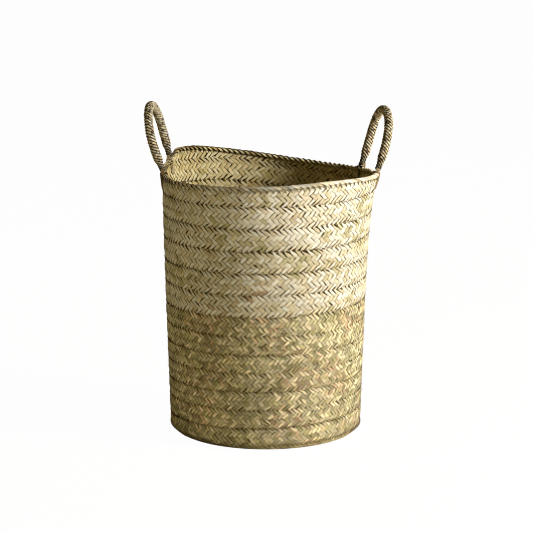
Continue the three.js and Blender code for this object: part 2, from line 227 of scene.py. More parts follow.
class WallSizes(bpy.types.PropertyGroup):
    foot_radius: length("Foot radius", "Outside radius of the wall above its corner", 0.1795)
    taper: length("Taper", "How much wider the wall is at the rim", 0.0155)
    flare: length("Rim flare", "Extra width near the rim", 0.009)
    flare_power: share("Flare power", "How late the flare sets in", 6)
    corner_radius: length("Corner radius", "Rounding between wall and base", 0.015)
    corner_sweep: angle("Corner sweep", "How far the wall turns under", 75)
    half_thickness: length("Half thickness", "Half thickness of a band at its middle", 0.003)
    clearance: length("Clearance", "Gap between pieces that touch", 0.0003)
    tilt: length("Rim tilt", "How much lower the rim sits on the right", 0.008)
    lower_pitch: length("Lower band pitch", "Rise per turn of the lower band", 0.0346)
    upper_pitch: length("Upper band pitch", "Rise per turn of the upper band", 0.041)
    lower_rows: integer("Lower rows", "Full rows of the lower band", 7)
    upper_rows: integer("Upper rows", "Full rows of the upper band", 6)
    start: angle("Winding start", "Azimuth where the wall starts, changes band and ends", 160)


class PlaitSizes(bpy.types.PropertyGroup):
    lower_spacing: length("Lower spacing", "Distance between strands along the lower band", 0.0088)
    upper_spacing: length("Upper spacing", "Distance between strands along the upper band", 0.0108)
    rise: length("Rise", "How far a strand stands out when it passes over", 0.0006)
    thickness: length("Thickness", "Thickness of a leaf strand at its middle", 0.001)
    bow: share("Bow", "How much a float bows out, as a share of the rise", 0.3)
    edge_row: share("Edge row", "Height of the row at a fold, in rows", 1.14)
    dive_reach: share("Dive reach", "How soon a strand is down after it dives, in rows", 0.12)
    # Painted shade along a strand's edges and where it dives under its neighbours, and how far that reaches.
    edge_dark: share("Edge dark", "How dark the edges of a strand are", 0.92)
    end_dark: share("End dark", "How dark a strand is where it dives", 0.95)
    end_reach: share("End reach", "How far that darkness reaches, in rows", 0.05)
    fill: share("Fill", "Strand width as a share of its room", 0.985)
    fold_nip: share("Fold nip", "How much narrower a strand is at its folds", 0.35)
    nip_reach: share("Nip reach", "How far from a fold a strand is narrower, in rows", 0.5)
    width_spread: share("Width spread", "How much the strands differ in width", 0.1)
    pinch: share("Pinch", "How much the narrowest strands draw in at their folds", 0.4)
    gaps: share("Gaps", "How much a strand draws in where it leaves a gap", 0.34)
    gap_scale: share("Gap scale", "How close together gaps lie, per metre", 95)
    wobble: length("Wobble", "How far strands stray from their line", 0.0029)
    wobble_scale: share("Wobble scale", "How often a strand strays, per metre", 70)
    crown: length("Crown", "How far a band bulges between its seams", 0.0015)
    seam_lap: length("Seam lap", "How far neighbouring turns reach into each other", 0.0006)


class BaseSizes(bpy.types.PropertyGroup):
    thickness: length("Thickness", "Thickness of the base", 0.005)
    pitch: length("Pitch", "Width of the band in the base spiral", 0.0346)
    eye_radius: length("Eye radius", "Radius of the folded start of the spiral", 0.009)
    eye_strands: integer("Eye strands", "Strands each way in it", 4)
    eye_reach: share("Eye reach", "How far its strands reach, as a share of its radius", 1.25)
    eye_rise: share("Eye rise", "How far they rise as they cross, as a share of the plait's rise", 0.8)
    eye_fill: share("Eye fill", "Their width as a share of their room", 0.92)
    cord_radius: length("Edge cord radius", "Radius of the cord between base and wall", 0.0017)


class LacingSizes(bpy.types.PropertyGroup):
    cord_radius: length("Cord radius", "Radius of the lacing cord", 0.0007)
    reach_out: length("Reach out", "How far the lacing stands out of the seam", 0.0022)
    reach_up: length("Reach up", "How far the lacing reaches into each band", 0.0032)
    base_share: share("Base share", "Share of that under the base, so that the base lies flat", 0.8)
    foot_lift: length("Foot lift", "How far the stitches round the foot stand above its middle", 0.0004)
    foot_height: length("Foot height", "Height up the wall of the stitches that hold it to the base", 0.0145)
    stitch_radius: length("Stitch radius", "Radius of the stitches round the foot", 0.00075)
    stitch_out: length("Stitch width", "How far a stitch goes round the edge cord, in and out", 0.0027)
    stitch_up: length("Stitch height", "How far a stitch goes round the edge cord, up and down", 0.002)
    steps: integer("Steps", "Steps in one stitch", 6)


class RimSizes(bpy.types.PropertyGroup):
    half_width: length("Half width", "Half width of the edging through the wall", 0.0044)
    half_height: length("Half height", "Half height of the edging", 0.0031)
    spacing: length("Spacing", "Distance between the binding strips", 0.0115)
    strip_width: length("Strip width", "Width of a binding strip", 0.0053)
    shingle: length("Shingle", "How far a strip's edge lies over the next strip", 0.0011)
    slant: length("Slant", "How far a strip runs along the rim on its way round", 0.038)
    wobble: length("Wobble", "How far the strips stray from their line", 0.001)
    tuck_reach: share("Tuck reach", "How much of a strip's length narrows to each end", 0.15)
    tuck_taper: share("Tuck taper", "How much narrower its ends are", 0.7)
    # The core is the tube of painted shade inside the binding strips.
    core: share("Core", "Size of the edging's core as a share of the edging", 0.8)


class HandleSizes(bpy.types.PropertyGroup):
    rope_radius: length("Rope radius", "Outside radius of the rope", 0.008)
    foot_radius: length("Foot radius", "Outside radius of the rope's core and ties at its feet", 0.006)
    taper_length: length("Taper length", "Length over which the rope thins", 0.022)
    foot_length: length("Foot length", "Length over which a foot stays thin", 0.008)
    core_radius: length("Core radius", "Radius of the bundle inside the rope", 0.0032)
    core_start: length("Core start", "How far from the hinge the bundle starts, clear of the lashing", 0.005)
    cords: integer("Cords", "Cords laid round the core", 5)
    lead: length("Lead", "Length of rope in which a cord goes round once", 0.0275)
    cord_radius: length("Cord radius", "Radius of one cord of the rope", 0.0023)
    cord_stand: length("Cord stand", "How far the cords stand out of the rope's radius", 0.0004)
    cord_knots: share("Cord knots", "How much a cord's thickness varies", 0.9)
    knot_scale: share("Knot scale", "How close together those changes lie, per metre", 260)
    foot_shadow: share("Foot shadow", "How dark the rope is at its feet", 0.75)
    foot_shadow_reach: length("Foot shadow reach", "How far up the rope that darkness goes", 0.019)
    knuckle: share("Knuckle", "How far the rope runs past the hinge, as a share of its radius", 0.8)
    roundness: share("Roundness", "Below 1 the legs stand straighter", 0.58)
    tie_width: length("Tie width", "Width of the leaf ties", 0.007)
    tie_thickness: length("Tie thickness", "Thickness of the leaf ties", 0.0024)
    tie_drop: length("Tie drop", "How far down a tie goes through the wall", 0.030)
    tie_slack: length("Tie slack", "Room between a tie and the edging", 0.0007)
    tie_bend: length("Tie bend", "Bend of a tie at its corners", 0.0024)
    lash_room: length("Lashing room", "Room between a lashing and what it goes round", 0.0012)
    lash_spacing: length("Lashing spacing", "Distance between the loops of a lashing", 0.0021)
    lash_width: length("Lashing width", "Width of the leaf in a lashing", 0.0023)
    lash_thickness: length("Lashing thickness", "Thickness of that leaf", 0.001)
    outset: length("Outset", "How far outside the wall's middle the feet stand", 0.003)


class LeafColours(bpy.types.PropertyGroup):
    cream: colour("Cream", "Palest strands", (0.785, 0.735, 0.6))
    straw: colour("Straw", "Straw coloured strands", (0.68, 0.57, 0.36))
    green: colour("Green", "Greenish strands", (0.44, 0.39, 0.18))
    tan: colour("Tan", "Brown strands", (0.42, 0.28, 0.12))
    rose: colour("Rose", "Pinkish strands", (0.52, 0.36, 0.21))
    # The inner side colour is painted shade, multiplied into the plaits and the binding where they face the
    # basket's axis.
    inner: colour("Inside shade", "Tint of the leaf on the inner side", (0.84, 0.76, 0.5))
    # The painted shade colour: it darkens strand edges, dives and folds, the tucked ends of the binding, the
    # gaps between a rope's cords, the rope's feet and the sheets inside the bands, and is the darkest tone of
    # the lacing and the ties.
    crevice: colour("Painted shade", "Dark edges and hollows", (0.04, 0.024, 0.008))
    floor: colour("Floor", "Floor under the basket", (0.92, 0.84, 0.62))


# Each handle: azimuths of its feet, the loop's rise in metres and its lean, curl, swell and twist as shares,
# how far its ties bulge out in metres, and how pale the tie at each foot is.
HANDLES = {
    "left": {
        "front": 191.5,
        "back": 157,
        "rise": 0.105,
        "lean": 0.335,
        "curl": 0.07,
        "swell": 0.12,
        "twist": 0.12,
        "bulge": 0.001,
        "front_tone": -0.5,
        "back_tone": 0.8,
    },
    "right": {
        "front": 1,
        "back": 28,
        "rise": 0.1035,
        "lean": 0.385,
        "curl": 0.11,
        "swell": 0,
        "twist": 0.05,
        "bulge": 0.002,
        "front_tone": 1.0,
        "back_tone": -0.2,
    },
}


def sizes(group):
    return getattr(bpy.context.scene, "basket_" + group)


def unit(vectors):
    return vectors / np.linalg.norm(vectors, axis=-1, keepdims=True)


def lengths_along(line):
    """Length of a line of points, from its start to each of them."""
    return np.concatenate([[0], np.cumsum(np.linalg.norm(np.diff(line, axis=0), axis=1))])


def polar(radius, azimuth, height):
    """Points from radii, azimuths in degrees and heights."""
    a = np.radians(azimuth)
    return np.stack(np.broadcast_arrays(radius * np.cos(a), radius * np.sin(a), height), -1)


def add_object(name, data):
    thing = bpy.data.objects.new(name, data)
    bpy.context.scene.collection.objects.link(thing)
    return thing


def declare(piece, node=None, body="basket"):
    """Says which body a piece rides on, and hides the part of the model that it stands for."""
    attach(piece, body)
    if node:
        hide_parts(node)


# Field and number type of each kind of attribute.
STORED_AS = {
    "FLOAT": ("value", np.float32),
    "FLOAT_VECTOR": ("vector", np.float32),
    "INT": ("value", np.int32),
    "BOOLEAN": ("value", bool),
}


def read_values(items, field, width, number_type=np.int32):
    """One field of a mesh's points, edges, corners or map, as an array with a row for each of them."""
    values = np.empty((len(items), width), number_type)
    items.foreach_get(field, values.ravel())
    return values


def write_attribute(mesh, label, kind, domain, values):
    field, number_type = STORED_AS[kind]
    layer = mesh.attributes.new(label, kind, domain)
    layer.data.foreach_set(field, np.ravel(values).astype(number_type))


# The wall's surface

def lobe(feature, azimuth):
    middle, amount, before, after = feature
    away = (azimuth - middle + 180) % 360 - 180
    return amount * np.exp(-((away / np.where(away < 0, before, after)) ** 2))


def wall_slant():
    wall = sizes("wall")
    return wall.lower_rows * wall.lower_pitch + wall.upper_rows * wall.upper_pitch


def wall_profile(s):
    """Radius, height and outward direction of the wall's middle surface at slant s."""
    wall = sizes("wall")
    corner_length = wall.corner_radius * wall.corner_sweep
    corner_height = wall.corner_radius + wall.half_thickness + wall.clearance
    rise = wall_slant() - corner_length
    side = wall.foot_radius - wall.half_thickness
    turn = np.minimum(s - corner_length, 0) / wall.corner_radius
    part = np.maximum(s - corner_length, 0) / rise
    radius = side - wall.corner_radius * (1 - np.cos(turn)) + wall.taper * part
    radius = radius + wall.flare * part**wall.flare_power
    height = corner_height + wall.corner_radius * np.sin(turn) + rise * part
    slope = (wall.taper + wall.flare * wall.flare_power * part ** (wall.flare_power - 1)) / wall_slant()
    slope = np.where(s < corner_length, 0, slope)
    outward = np.stack([np.cos(turn), np.sin(turn) - slope], -1)
    return radius, height, unit(outward)


def wall_points(s, azimuth, n):
    """Points of the wall: s runs up the slant, azimuth in degrees, n stands out from the middle surface."""
    wall = sizes("wall")
    s, azimuth, n = np.broadcast_arrays(np.asarray(s, float), azimuth, n)
    radius, height, outward = wall_profile(s)
    up = np.maximum(0, s / wall_slant())
    plan = lobe(FRONT_FLAT, azimuth) + lobe(LEFT_FLAT, azimuth) + lobe(RIGHT_BULGE, azimuth)
    lift = lobe(BACK_SAG, azimuth) - wall.tilt * np.cos(np.radians(azimuth))
    radius = radius + plan * up**wall.flare_power + n * outward[..., 0]
    return polar(radius, azimuth, height + lift * up + n * outward[..., 1])


def top_edge(azimuth):
    return wall_slant() + lobe(END_RISE, azimuth) + lobe(LEFT_TRIM, azimuth) + lobe(FRONT_RISE, azimuth)


def seam(u):
    """Slant of the seam under turn u of the winding."""
    wall = sizes("wall")
    lower = np.clip(u - 1, 0, wall.lower_rows)
    return wall.lower_pitch * lower + wall.upper_pitch * np.maximum(0, u - 1 - lower)


def winding_azimuth(u):
    return math.degrees(sizes("wall").start) + 360 * u


# Node trees, written as calls

class Tree:
    """Adds nodes to a tree. Inputs are values or the sockets of other nodes, in the order of the node."""

    def __init__(self, tree):
        self.tree = tree

    def add(self, kind, *inputs, **settings):
        node = self.tree.nodes.new(kind)
        for key, value in settings.items():
            setattr(node, key, value)
        open_sockets = [s for s in node.inputs if s.enabled]
        for socket, value in zip(open_sockets, inputs):
            self.feed(socket, value)
        return node

    def feed(self, socket, value):
        if isinstance(value, bpy.types.NodeSocket):
            self.tree.links.new(value, socket)
        elif value is not None:
            socket.default_value = value

    def one(self, kind, *inputs, **settings):
        """Adds a node and gives its first socket out."""
        node = self.add(kind, *inputs, **settings)
        return next(s for s in node.outputs if s.enabled)

    def noise(self, place, scale, detail, dimensions="3D"):
        node = self.add("ShaderNodeTexNoise", noise_dimensions=dimensions)
        for label, value in (("Vector", place), ("Scale", scale), ("Detail", detail)):
            self.feed(node.inputs[label], value)
        return node


class Shape(Tree):
    """A Geometry Nodes tree with named inputs that makes one object's mesh."""

    def __init__(self, name, inputs):
        super().__init__(bpy.data.node_groups.new(name, "GeometryNodeTree"))
        sockets = self.tree.interface
        for kind, labels in {"Geometry": ("Geometry",), **inputs}.items():
            for label in labels:
                sockets.new_socket(label, in_out="INPUT", socket_type="NodeSocket" + kind)
        sockets.new_socket("Geometry", in_out="OUTPUT", socket_type="NodeSocketGeometry")
        self.inputs = self.tree.nodes.new("NodeGroupInput").outputs

    def math(self, operation, a, b=None):
        return self.one("ShaderNodeMath", a, b, operation=operation)

    def times(self, product, *factors):
        for factor in factors:
            product = self.math("MULTIPLY", product, factor)
        return product

    def vector(self, operation, a, b=None):
        return self.one("ShaderNodeVectorMath", a, b, operation=operation)

    def named(self, name, kind):
        return self.one("GeometryNodeInputNamedAttribute", name, data_type=kind)

    def random(self, low, high, key, seed):
        return self.one("FunctionNodeRandomValue", low, high, key, seed, data_type="FLOAT")

    def store(self, geometry, name, value, kind, domain):
        return self.one(
            "GeometryNodeStoreNamedAttribute", geometry, None, name, value, data_type=kind, domain=domain
        )

    def move(self, geometry, offset):
        return self.one("GeometryNodeSetPosition", geometry, None, None, offset)

    def finish(self, geometry):
        self.add("NodeGroupOutput", self.one("GeometryNodeSetMaterial", geometry, None, self.inputs["Leaf"]))


def strand_row_tree():
    """Lays copies of one strand in a row, each with its own width and tone, and lets them stray a little."""
    shape = Shape("Row of strands", {
        "Int": ("Strands", "Seed"),
        "Float": ("First", "Spacing", "Width spread", "Pinch", "Gaps", "Gap scale", "Wobble", "Wobble scale"),
        "Material": ("Leaf",),
    })
    given = shape.inputs
    start = shape.one("ShaderNodeCombineXYZ", given["First"])
    step = shape.one("ShaderNodeCombineXYZ", given["Spacing"])
    line = shape.one("GeometryNodeMeshLine", given["Strands"], start, step, mode="OFFSET")
    copies = shape.one("GeometryNodeInstanceOnPoints", line, None, given["Geometry"])
    index = shape.one("GeometryNodeInputIndex")
    copies = shape.store(copies, "strand", index, "INT", "INSTANCE")
    row = shape.one("GeometryNodeRealizeInstances", copies)
    strand = shape.named("strand", "INT")

    def widened(amount):
        return shape.vector("SCALE", shape.named("across", "FLOAT_VECTOR"), amount)

    narrow = shape.times(given["Width spread"], -1.0)
    wide = shape.times(given["Width spread"], WIDENING)
    row = shape.move(row, widened(shape.random(narrow, wide, strand, given["Seed"])))
    tight = shape.math("POWER", shape.random(0.0, 1.0, strand, SEEDS["pinch"]), PINCH_POWER)
    tight = shape.times(tight, given["Pinch"], -1.0, shape.named("fold", "FLOAT"))
    row = shape.move(row, widened(tight))
    place = shape.one("GeometryNodeInputPosition")
    apart = shape.random(0.0, APART, strand, SEEDS["apart"])
    place = shape.vector("ADD", place, shape.one("ShaderNodeCombineXYZ", None, None, apart))
    stray = shape.noise(place, given["Wobble scale"], 1.0).outputs["Color"]
    gaps = shape.noise(place, given["Gap scale"], 0.0).outputs["Fac"]
    loose = shape.one("ShaderNodeMapRange", gaps, *GAP_NOISE, 0.0, 1.0)
    loose = shape.times(loose, given["Gaps"], -1.0)
    stray = shape.vector("SUBTRACT", stray, (0.5, 0.5, 0.5))
    stray = shape.vector("MULTIPLY", stray, STRAY_SHARES)
    stray = shape.vector("SCALE", stray, given["Wobble"])
    row = shape.move(row, shape.vector("ADD", stray, widened(loose)))
    floats = shape.times(strand, FLOATS_PER_STRAND)
    floats = shape.math("ADD", floats, shape.named("float_index", "INT"))
    for label, key in (("tone", strand), ("shade", floats), ("tight", floats)):
        row = shape.store(row, label, shape.random(0.0, 1.0, key, SEEDS[label]), "FLOAT", "FACE")
    shape.finish(row)
    return shape.tree


def laid_cord_tree():
    """Winds cords round a path. Their thickness varies along them by the share called knots."""
    shape = Shape("Laid cords", {
        "Int": ("Cords", "Sides"),
        "Float": ("Lead", "Radius", "Knots", "Knot scale"),
        "Material": ("Leaf",),
    })
    given = shape.inputs
    path = shape.one("GeometryNodeMeshToCurve", given["Geometry"])
    cords = shape.add("GeometryNodeDuplicateElements", path, None, given["Cords"], domain="SPLINE")
    path = shape.store(cords.outputs["Geometry"], "cord", cords.outputs["Duplicate Index"], "INT", "POINT")
    along = shape.add("GeometryNodeSplineParameter").outputs["Length"]
    out, up = shape.named("out", "FLOAT_VECTOR"), shape.named("up", "FLOAT_VECTOR")
    size = shape.named("size", "FLOAT")

    cord = shape.named("cord", "INT")
    turn = shape.math("DIVIDE", along, given["Lead"])
    turn = shape.math("ADD", turn, shape.math("DIVIDE", cord, given["Cords"]))
    turn = shape.times(turn, TURN)
    radial = shape.vector("SCALE", out, shape.math("COSINE", turn))
    radial = shape.vector("ADD", radial, shape.vector("SCALE", up, shape.math("SINE", turn)))
    path = shape.store(path, "outward", shape.vector("NORMALIZE", radial), "FLOAT_VECTOR", "POINT")
    path = shape.store(path, "along", along, "FLOAT", "POINT")
    path = shape.move(path, radial)
    knots = shape.noise(None, given["Knot scale"], 1.0).outputs["Fac"]
    knots = shape.times(shape.math("SUBTRACT", knots, 0.5), given["Knots"])
    path = shape.store(path, "knots", knots, "FLOAT", "POINT")
    size = shape.times(size, shape.math("ADD", shape.named("knots", "FLOAT"), 1.0))
    circle = shape.add("GeometryNodeCurvePrimitiveCircle", given["Sides"], given["Radius"], mode="RADIUS")
    around = shape.add("GeometryNodeSplineParameter").outputs["Factor"]
    circle = shape.store(circle.outputs["Curve"], "around", around, "FLOAT", "POINT")
    rope = shape.one("GeometryNodeCurveToMesh", path, circle, size, True)
    for label in ("tone", "shade"):
        rope = shape.store(rope, label, shape.random(0.0, 1.0, cord, SEEDS[label]), "FLOAT", "FACE")
    # Painted shade between the cords and where a cord is thin, and painted shadow at the rope's feet.
    normal = shape.one("GeometryNodeInputNormal")
    facing = shape.vector("DOT_PRODUCT", normal, shape.named("outward", "FLOAT_VECTOR"))
    hollow = shape.one("ShaderNodeMapRange", facing, *TURNED_AWAY, 0.0, 1.0)
    thin = shape.named("knots", "FLOAT")
    thin = shape.one("ShaderNodeMapRange", thin, *THIN_CORD, 0.0, THIN_SHADE)
    hollow = shape.math("MAXIMUM", hollow, shape.math("MAXIMUM", thin, shape.named("shadow", "FLOAT")))
    rope = shape.store(rope, "crevice", hollow, "FLOAT", "POINT")
    girth = shape.times(given["Radius"], TURN, shape.named("around", "FLOAT"))
    place = shape.one("ShaderNodeCombineXYZ", shape.named("along", "FLOAT"), girth)
    rope = shape.store(rope, "LeafMap", place, "FLOAT2", "CORNER")
    shape.finish(rope)
    return shape.tree


def made_by(tree_maker, base, name, values):
    """Runs a Geometry Nodes tree on a base mesh and returns the result as a plain mesh object."""
    tree = bpy.data.node_groups.get(tree_maker.__name__)
    if tree is None:
        tree = tree_maker()
        tree.name = tree_maker.__name__
    maker = add_object(name + "_maker", base)
    modifier = maker.modifiers.new("Shape", "NODES")
    modifier.node_group = tree
    for item in tree.interface.items_tree:
        if item.item_type == "SOCKET" and item.in_out == "INPUT" and item.name in values:
            modifier[item.identifier] = values[item.name]
    depsgraph = bpy.context.evaluated_depsgraph_get()
    mesh = bpy.data.meshes.new_from_object(maker.evaluated_get(depsgraph), depsgraph=depsgraph)
    bpy.data.objects.remove(maker)
    mesh.name = name
    return add_object(name, mesh)


# Strand meshes

def leaf_rings(line, across, outward, half_width, half_thickness):
    """Rings of a strand's section along a line, from directions across the strand and out of it."""
    rings = line[:, None] + (across * half_width)[..., None, :] * SECTION_ACROSS[:, None]
    return rings + (outward * half_thickness)[..., None, :] * SECTION_RISE[:, None]


def ring_mesh(name, rings, along, across, lateral, crevice, float_index, fold=None, edge_dark=None):
    """A closed strip through rings of points, with its leaf map and the attributes that the rows use.

    The darkness values of each ring are painted shade, besides the painted shade on the strip's edges.
    """
    if edge_dark is None:
        edge_dark = sizes("plait").edge_dark
    count, sides = rings.shape[:2]
    mesh = bpy.data.meshes.new(name)
    row, side = np.meshgrid(np.arange(count - 1), np.arange(sides), indexing="ij")
    row, side = row.ravel(), side.ravel()
    after = (side + 1) % sides
    quads = np.stack(
        [row * sides + side, row * sides + after, (row + 1) * sides + after, (row + 1) * sides + side], -1
    )
    faces = quads.tolist() + [list(range(sides))[::-1], [(count - 1) * sides + k for k in range(sides)]]
    mesh.from_pydata(rings.reshape(-1, 3).tolist(), [], faces)
    leaf = mesh.uv_layers.new(name="LeafMap")
    u = np.stack([along[row], along[row], along[row + 1], along[row + 1]], -1)
    v = np.stack([across[side], across[side + 1], across[side + 1], across[side]], -1)
    caps_u = np.repeat([along[0], along[-1]], sides)
    caps_v = np.tile(across[:sides], 2)
    places = np.concatenate([np.stack([u.ravel(), v.ravel()], -1), np.stack([caps_u, caps_v], -1)])
    leaf.data.foreach_set("uv", places.astype(np.float32).ravel())
    write_attribute(mesh, "across", "FLOAT_VECTOR", "POINT", lateral)
    # The narrow faces along both edges take their own painted shade, so that it ends in a sharp line.
    edge_face = BEVELS[side, None] * edge_dark
    corners = np.stack([crevice[row], crevice[row], crevice[row + 1], crevice[row + 1]], -1)
    caps = np.repeat([crevice[0], crevice[-1]], sides)
    dark = np.concatenate([np.maximum(corners, edge_face).ravel(), caps])
    write_attribute(mesh, "crevice", "FLOAT", "CORNER", dark)
    if fold is not None:
        write_attribute(mesh, "fold", "FLOAT", "POINT", np.repeat(fold, sides))
    per_face = np.concatenate([float_index[row], [float_index[0], float_index[-1]]])
    write_attribute(mesh, "float_index", "INT", "FACE", per_face)
    mesh.shade_smooth()
    sharp = np.abs(SECTION_RISE) > 0
    first, last = read_values(mesh.edges, "vertices", 2).T
    crease = (first % sides == last % sides) & sharp[first % sides]
    write_attribute(mesh, "sharp_edge", "BOOLEAN", "EDGE", crease)
    return mesh


def strand_rows():
    """Stations along one strand, in rows of the plait, closer together at the dives and folds."""
    stops = sorted(DIVES + FOLDS)
    stations = []
    for first, last in zip(stops[:-1], stops[1:]):
        stations += [first + (last - first) * part for part in FLOAT_STEPS]
    stations += [fold + step for fold in FOLDS for step in (-FOLD_STEP, FOLD_STEP)]
    return np.array(sorted(stations + [DIVES[-1]]))


def strand_mesh(spacing, width):
    """One strand from the middle of a band over both of its edges and back, flat, along +X."""
    plait = sizes("plait")
    row_height = width / PLAIT_ROWS
    tau = strand_rows()
    stops = np.array(sorted(DIVES + FOLDS))
    nearest = stops[np.abs(tau[:, None] - stops).argmin(1)]
    away = tau - nearest
    at_fold = np.isin(nearest, FOLDS)
    sign = np.where(np.isin(nearest, RISING_DIVES), 1.0, -1.0)
    fold_reach = math.pi * plait.rise / 2 / row_height
    turn = math.pi / 2 * (1 + np.clip(away / fold_reach, -1, 1))
    dive = np.sin(math.pi / 2 * np.clip(away / plait.dive_reach, -1, 1))
    bow = 1 + plait.bow * np.clip(np.abs(away) / BOW_REACH, 0, 1) ** 2
    z = np.where(at_fold, -np.cos(turn), sign * dive) * bow * plait.rise
    fold_distance = np.abs(tau[:, None] - np.array(FOLDS)).min(1)
    skew = 0.5 + 0.5 * np.cos(math.pi * np.clip(fold_distance / SKEW_REACH, 0, 1))
    nip = 1 - plait.fold_nip * np.exp(-((fold_distance / plait.nip_reach) ** 2))
    half = plait.fill * nip / math.sqrt(2) / 2
    v = half[:, None] * SECTION_ACROSS
    flat_x = tau[:, None] - v * (1 + skew[:, None]) / math.sqrt(2)
    unfolded = tau[:, None] + v * (1 - skew[:, None]) / math.sqrt(2)

    def fold_down(unfolded_y):
        distance = np.abs(unfolded_y[..., None] - np.array(FOLDS)).min(-1)
        slack = (plait.edge_row * row_height - plait.rise) / (EDGE_ROW - fold_reach)
        near = plait.rise + (distance - fold_reach) * slack
        arc = plait.rise * (1 - np.cos(math.pi / 2 * np.clip(distance / fold_reach, 0, 1)))
        stretch = (PLAIT_ROWS / 2 - plait.edge_row) / (PLAIT_ROWS / 2 - EDGE_ROW)
        far = (plait.edge_row + (distance - EDGE_ROW) * stretch) * row_height
        inward = np.select([distance < fold_reach, distance < EDGE_ROW], [arc, near], far)
        top = np.abs(unfolded_y - FOLDS[0]) < np.abs(unfolded_y - FOLDS[1])
        return np.where(top, width - inward, inward), top

    y, _ = fold_down(unfolded)
    centre_y, centre_top = fold_down(tau)
    x = flat_x * spacing
    # The leaf's own front turns over at each fold.
    front = np.where((tau < FOLDS[0]) | (tau > FOLDS[1]), 1.0, -1.0)
    lean = np.where(at_fold, np.sin(turn), 0.0)
    face_z = np.where(at_fold, np.where(centre_top, np.cos(turn), -np.cos(turn)), front)
    thick = plait.thickness / 2 * SECTION_RISE
    y = y - lean[:, None] * thick
    z = z[:, None] + face_z[:, None] * thick
    rings = np.stack([x, y, np.broadcast_to(z, x.shape)], -1)
    lateral = rings.copy()
    lateral[..., 0] -= tau[:, None] * spacing
    lateral[..., 1] -= centre_y[:, None]
    lateral[..., 1] += lean[:, None] * thick
    lateral[..., 2] = 0
    lateral[at_fold & (np.abs(away) < LEVEL_REACH), :, 1] = 0
    # Painted shade where the strand dives, and a share of it at its folds.
    crevice = plait.end_dark * np.exp(-((away / plait.end_reach) ** 2)) * np.where(at_fold, FOLD_SHADE, 1.0)
    float_index = np.searchsorted(stops, tau, side="right") - 1
    step = math.hypot(spacing, row_height)
    strand_half = spacing * plait.fill / 2 * math.sin(math.atan2(row_height, spacing))
    places = SECTION_MAP * strand_half
    near_fold = np.exp(-((fold_distance / PINCH_REACH) ** 2))
    return ring_mesh("strand", rings, tau * step, places, lateral, crevice, float_index, near_fold)


def binding_mesh():
    """One strip bound round an edge that lies along +X: y is up, z is out. It leans as it comes down."""
    rim, thickness = sizes("rim"), sizes("plait").thickness
    turn = np.radians(np.linspace(*BINDING_SWEEP, BINDING_STEPS + 1))
    part = np.linspace(-0.5, 0.5, BINDING_STEPS + 1)
    centre = np.stack([-rim.slant * part, rim.half_height * np.sin(turn), rim.half_width * np.cos(turn)], -1)
    outward = unit(np.stack([0 * turn, np.sin(turn) / rim.half_height, np.cos(turn) / rim.half_width], -1))
    side = unit(np.cross(np.gradient(centre, axis=0), outward))
    lateral = side[:, None] * (SECTION_ACROSS * rim.strip_width / 2)[None, :, None]
    tuck = np.exp(-(((0.5 - np.abs(part)) / rim.tuck_reach) ** 2))
    lateral = lateral * (1 - rim.tuck_taper * tuck)[:, None, None]
    raised = SECTION_RISE * thickness / 2 + SECTION_ACROSS * rim.shingle
    rings = centre[:, None] + lateral + outward[:, None] * raised[None, :, None]
    across = SECTION_MAP * rim.strip_width / 2
    whole = np.zeros(BINDING_STEPS + 1, int)
    # Both ends of a strip, where it tucks under, take painted shade.
    return ring_mesh("binding", rings, lengths_along(centre), across, lateral, tuck, whole)


# Laying flat rows on the basket

def read_places(mesh):
    return read_values(mesh.vertices, "co", 3, np.float32).astype(float)


def write_places(mesh, places):
    mesh.vertices.foreach_set("co", places.astype(np.float32).ravel())
    mesh.update()


def add_bake_map(mesh):
    """Gives every strand its own rectangle of one map, so that a picture of the leaf can be kept."""
    leaf = read_values(mesh.uv_layers["LeafMap"].data, "uv", 2, np.float32)
    strand = read_values(mesh.attributes["strand"].data, "value", 1)[:, 0]
    vertex = read_values(mesh.loops, "vertex_index", 1)[:, 0]
    strand = strand[vertex] - strand.min()
    low, span = leaf.min(0), np.ptp(leaf, axis=0)
    count = strand.max() + 1
    columns = max(1, round(math.sqrt(count * span[1] / span[0])))
    rows = math.ceil(count / columns)
    inside = BAKE_MARGIN + (1 - 2 * BAKE_MARGIN) * (leaf - low) / span
    cell = np.stack([strand % columns, strand // columns], -1)
    layer = mesh.uv_layers.new(name="OFBake")
    layer.data.foreach_set("uv", ((cell + inside) / (columns, rows)).astype(np.float32).ravel())


def trim(mesh, outside):
    """Deletes the faces whose middle is outside, and closes the cut ends."""
    work = bmesh.new()
    work.from_mesh(mesh)
    work.verts.ensure_lookup_table()
    doomed = [f for f in work.faces if sum(outside[v.index] for v in f.verts) > len(f.verts) / 2]
    bmesh.ops.delete(work, geom=doomed, context="FACES")
    cut = [e for e in work.edges if e.is_boundary]
    bmesh.ops.holes_fill(work, edges=cut, sides=8)
    work.to_mesh(mesh)
    work.free()


def winding_length(radius_at, first, last):
    """Turns, and the length of a winding from the first turn to each of them."""
    turns = np.linspace(first, last, WINDING_POINTS)
    around = TURN * radius_at(turns)
    steps = np.diff(turns) * (around[1:] + around[:-1]) / 2
    return turns, np.concatenate([[0], np.cumsum(steps)])


def wall_radius(u):
    wall = sizes("wall")
    middle = np.clip((seam(u) + seam(u + 1)) / 2, wall.corner_radius, wall_slant())
    return wall_profile(middle)[0]


def lay_on_wall(u, part, n):
    """Places in the wall, and whether they lie past its foot or its top edge."""
    plait = sizes("plait")
    high = seam(u + 1)
    low = np.where(u < 1, high - sizes("wall").lower_pitch, seam(u)) - plait.seam_lap / 2
    s = low + part * (high + plait.seam_lap / 2 - low)
    swell = plait.crown * (1 - (2 * part - 1) ** 2)
    azimuth = winding_azimuth(u)
    limit = top_edge(azimuth) + sizes("rim").half_height
    return wall_points(np.clip(s, 0, limit), azimuth, n + swell), (s < 0) | (s > limit)


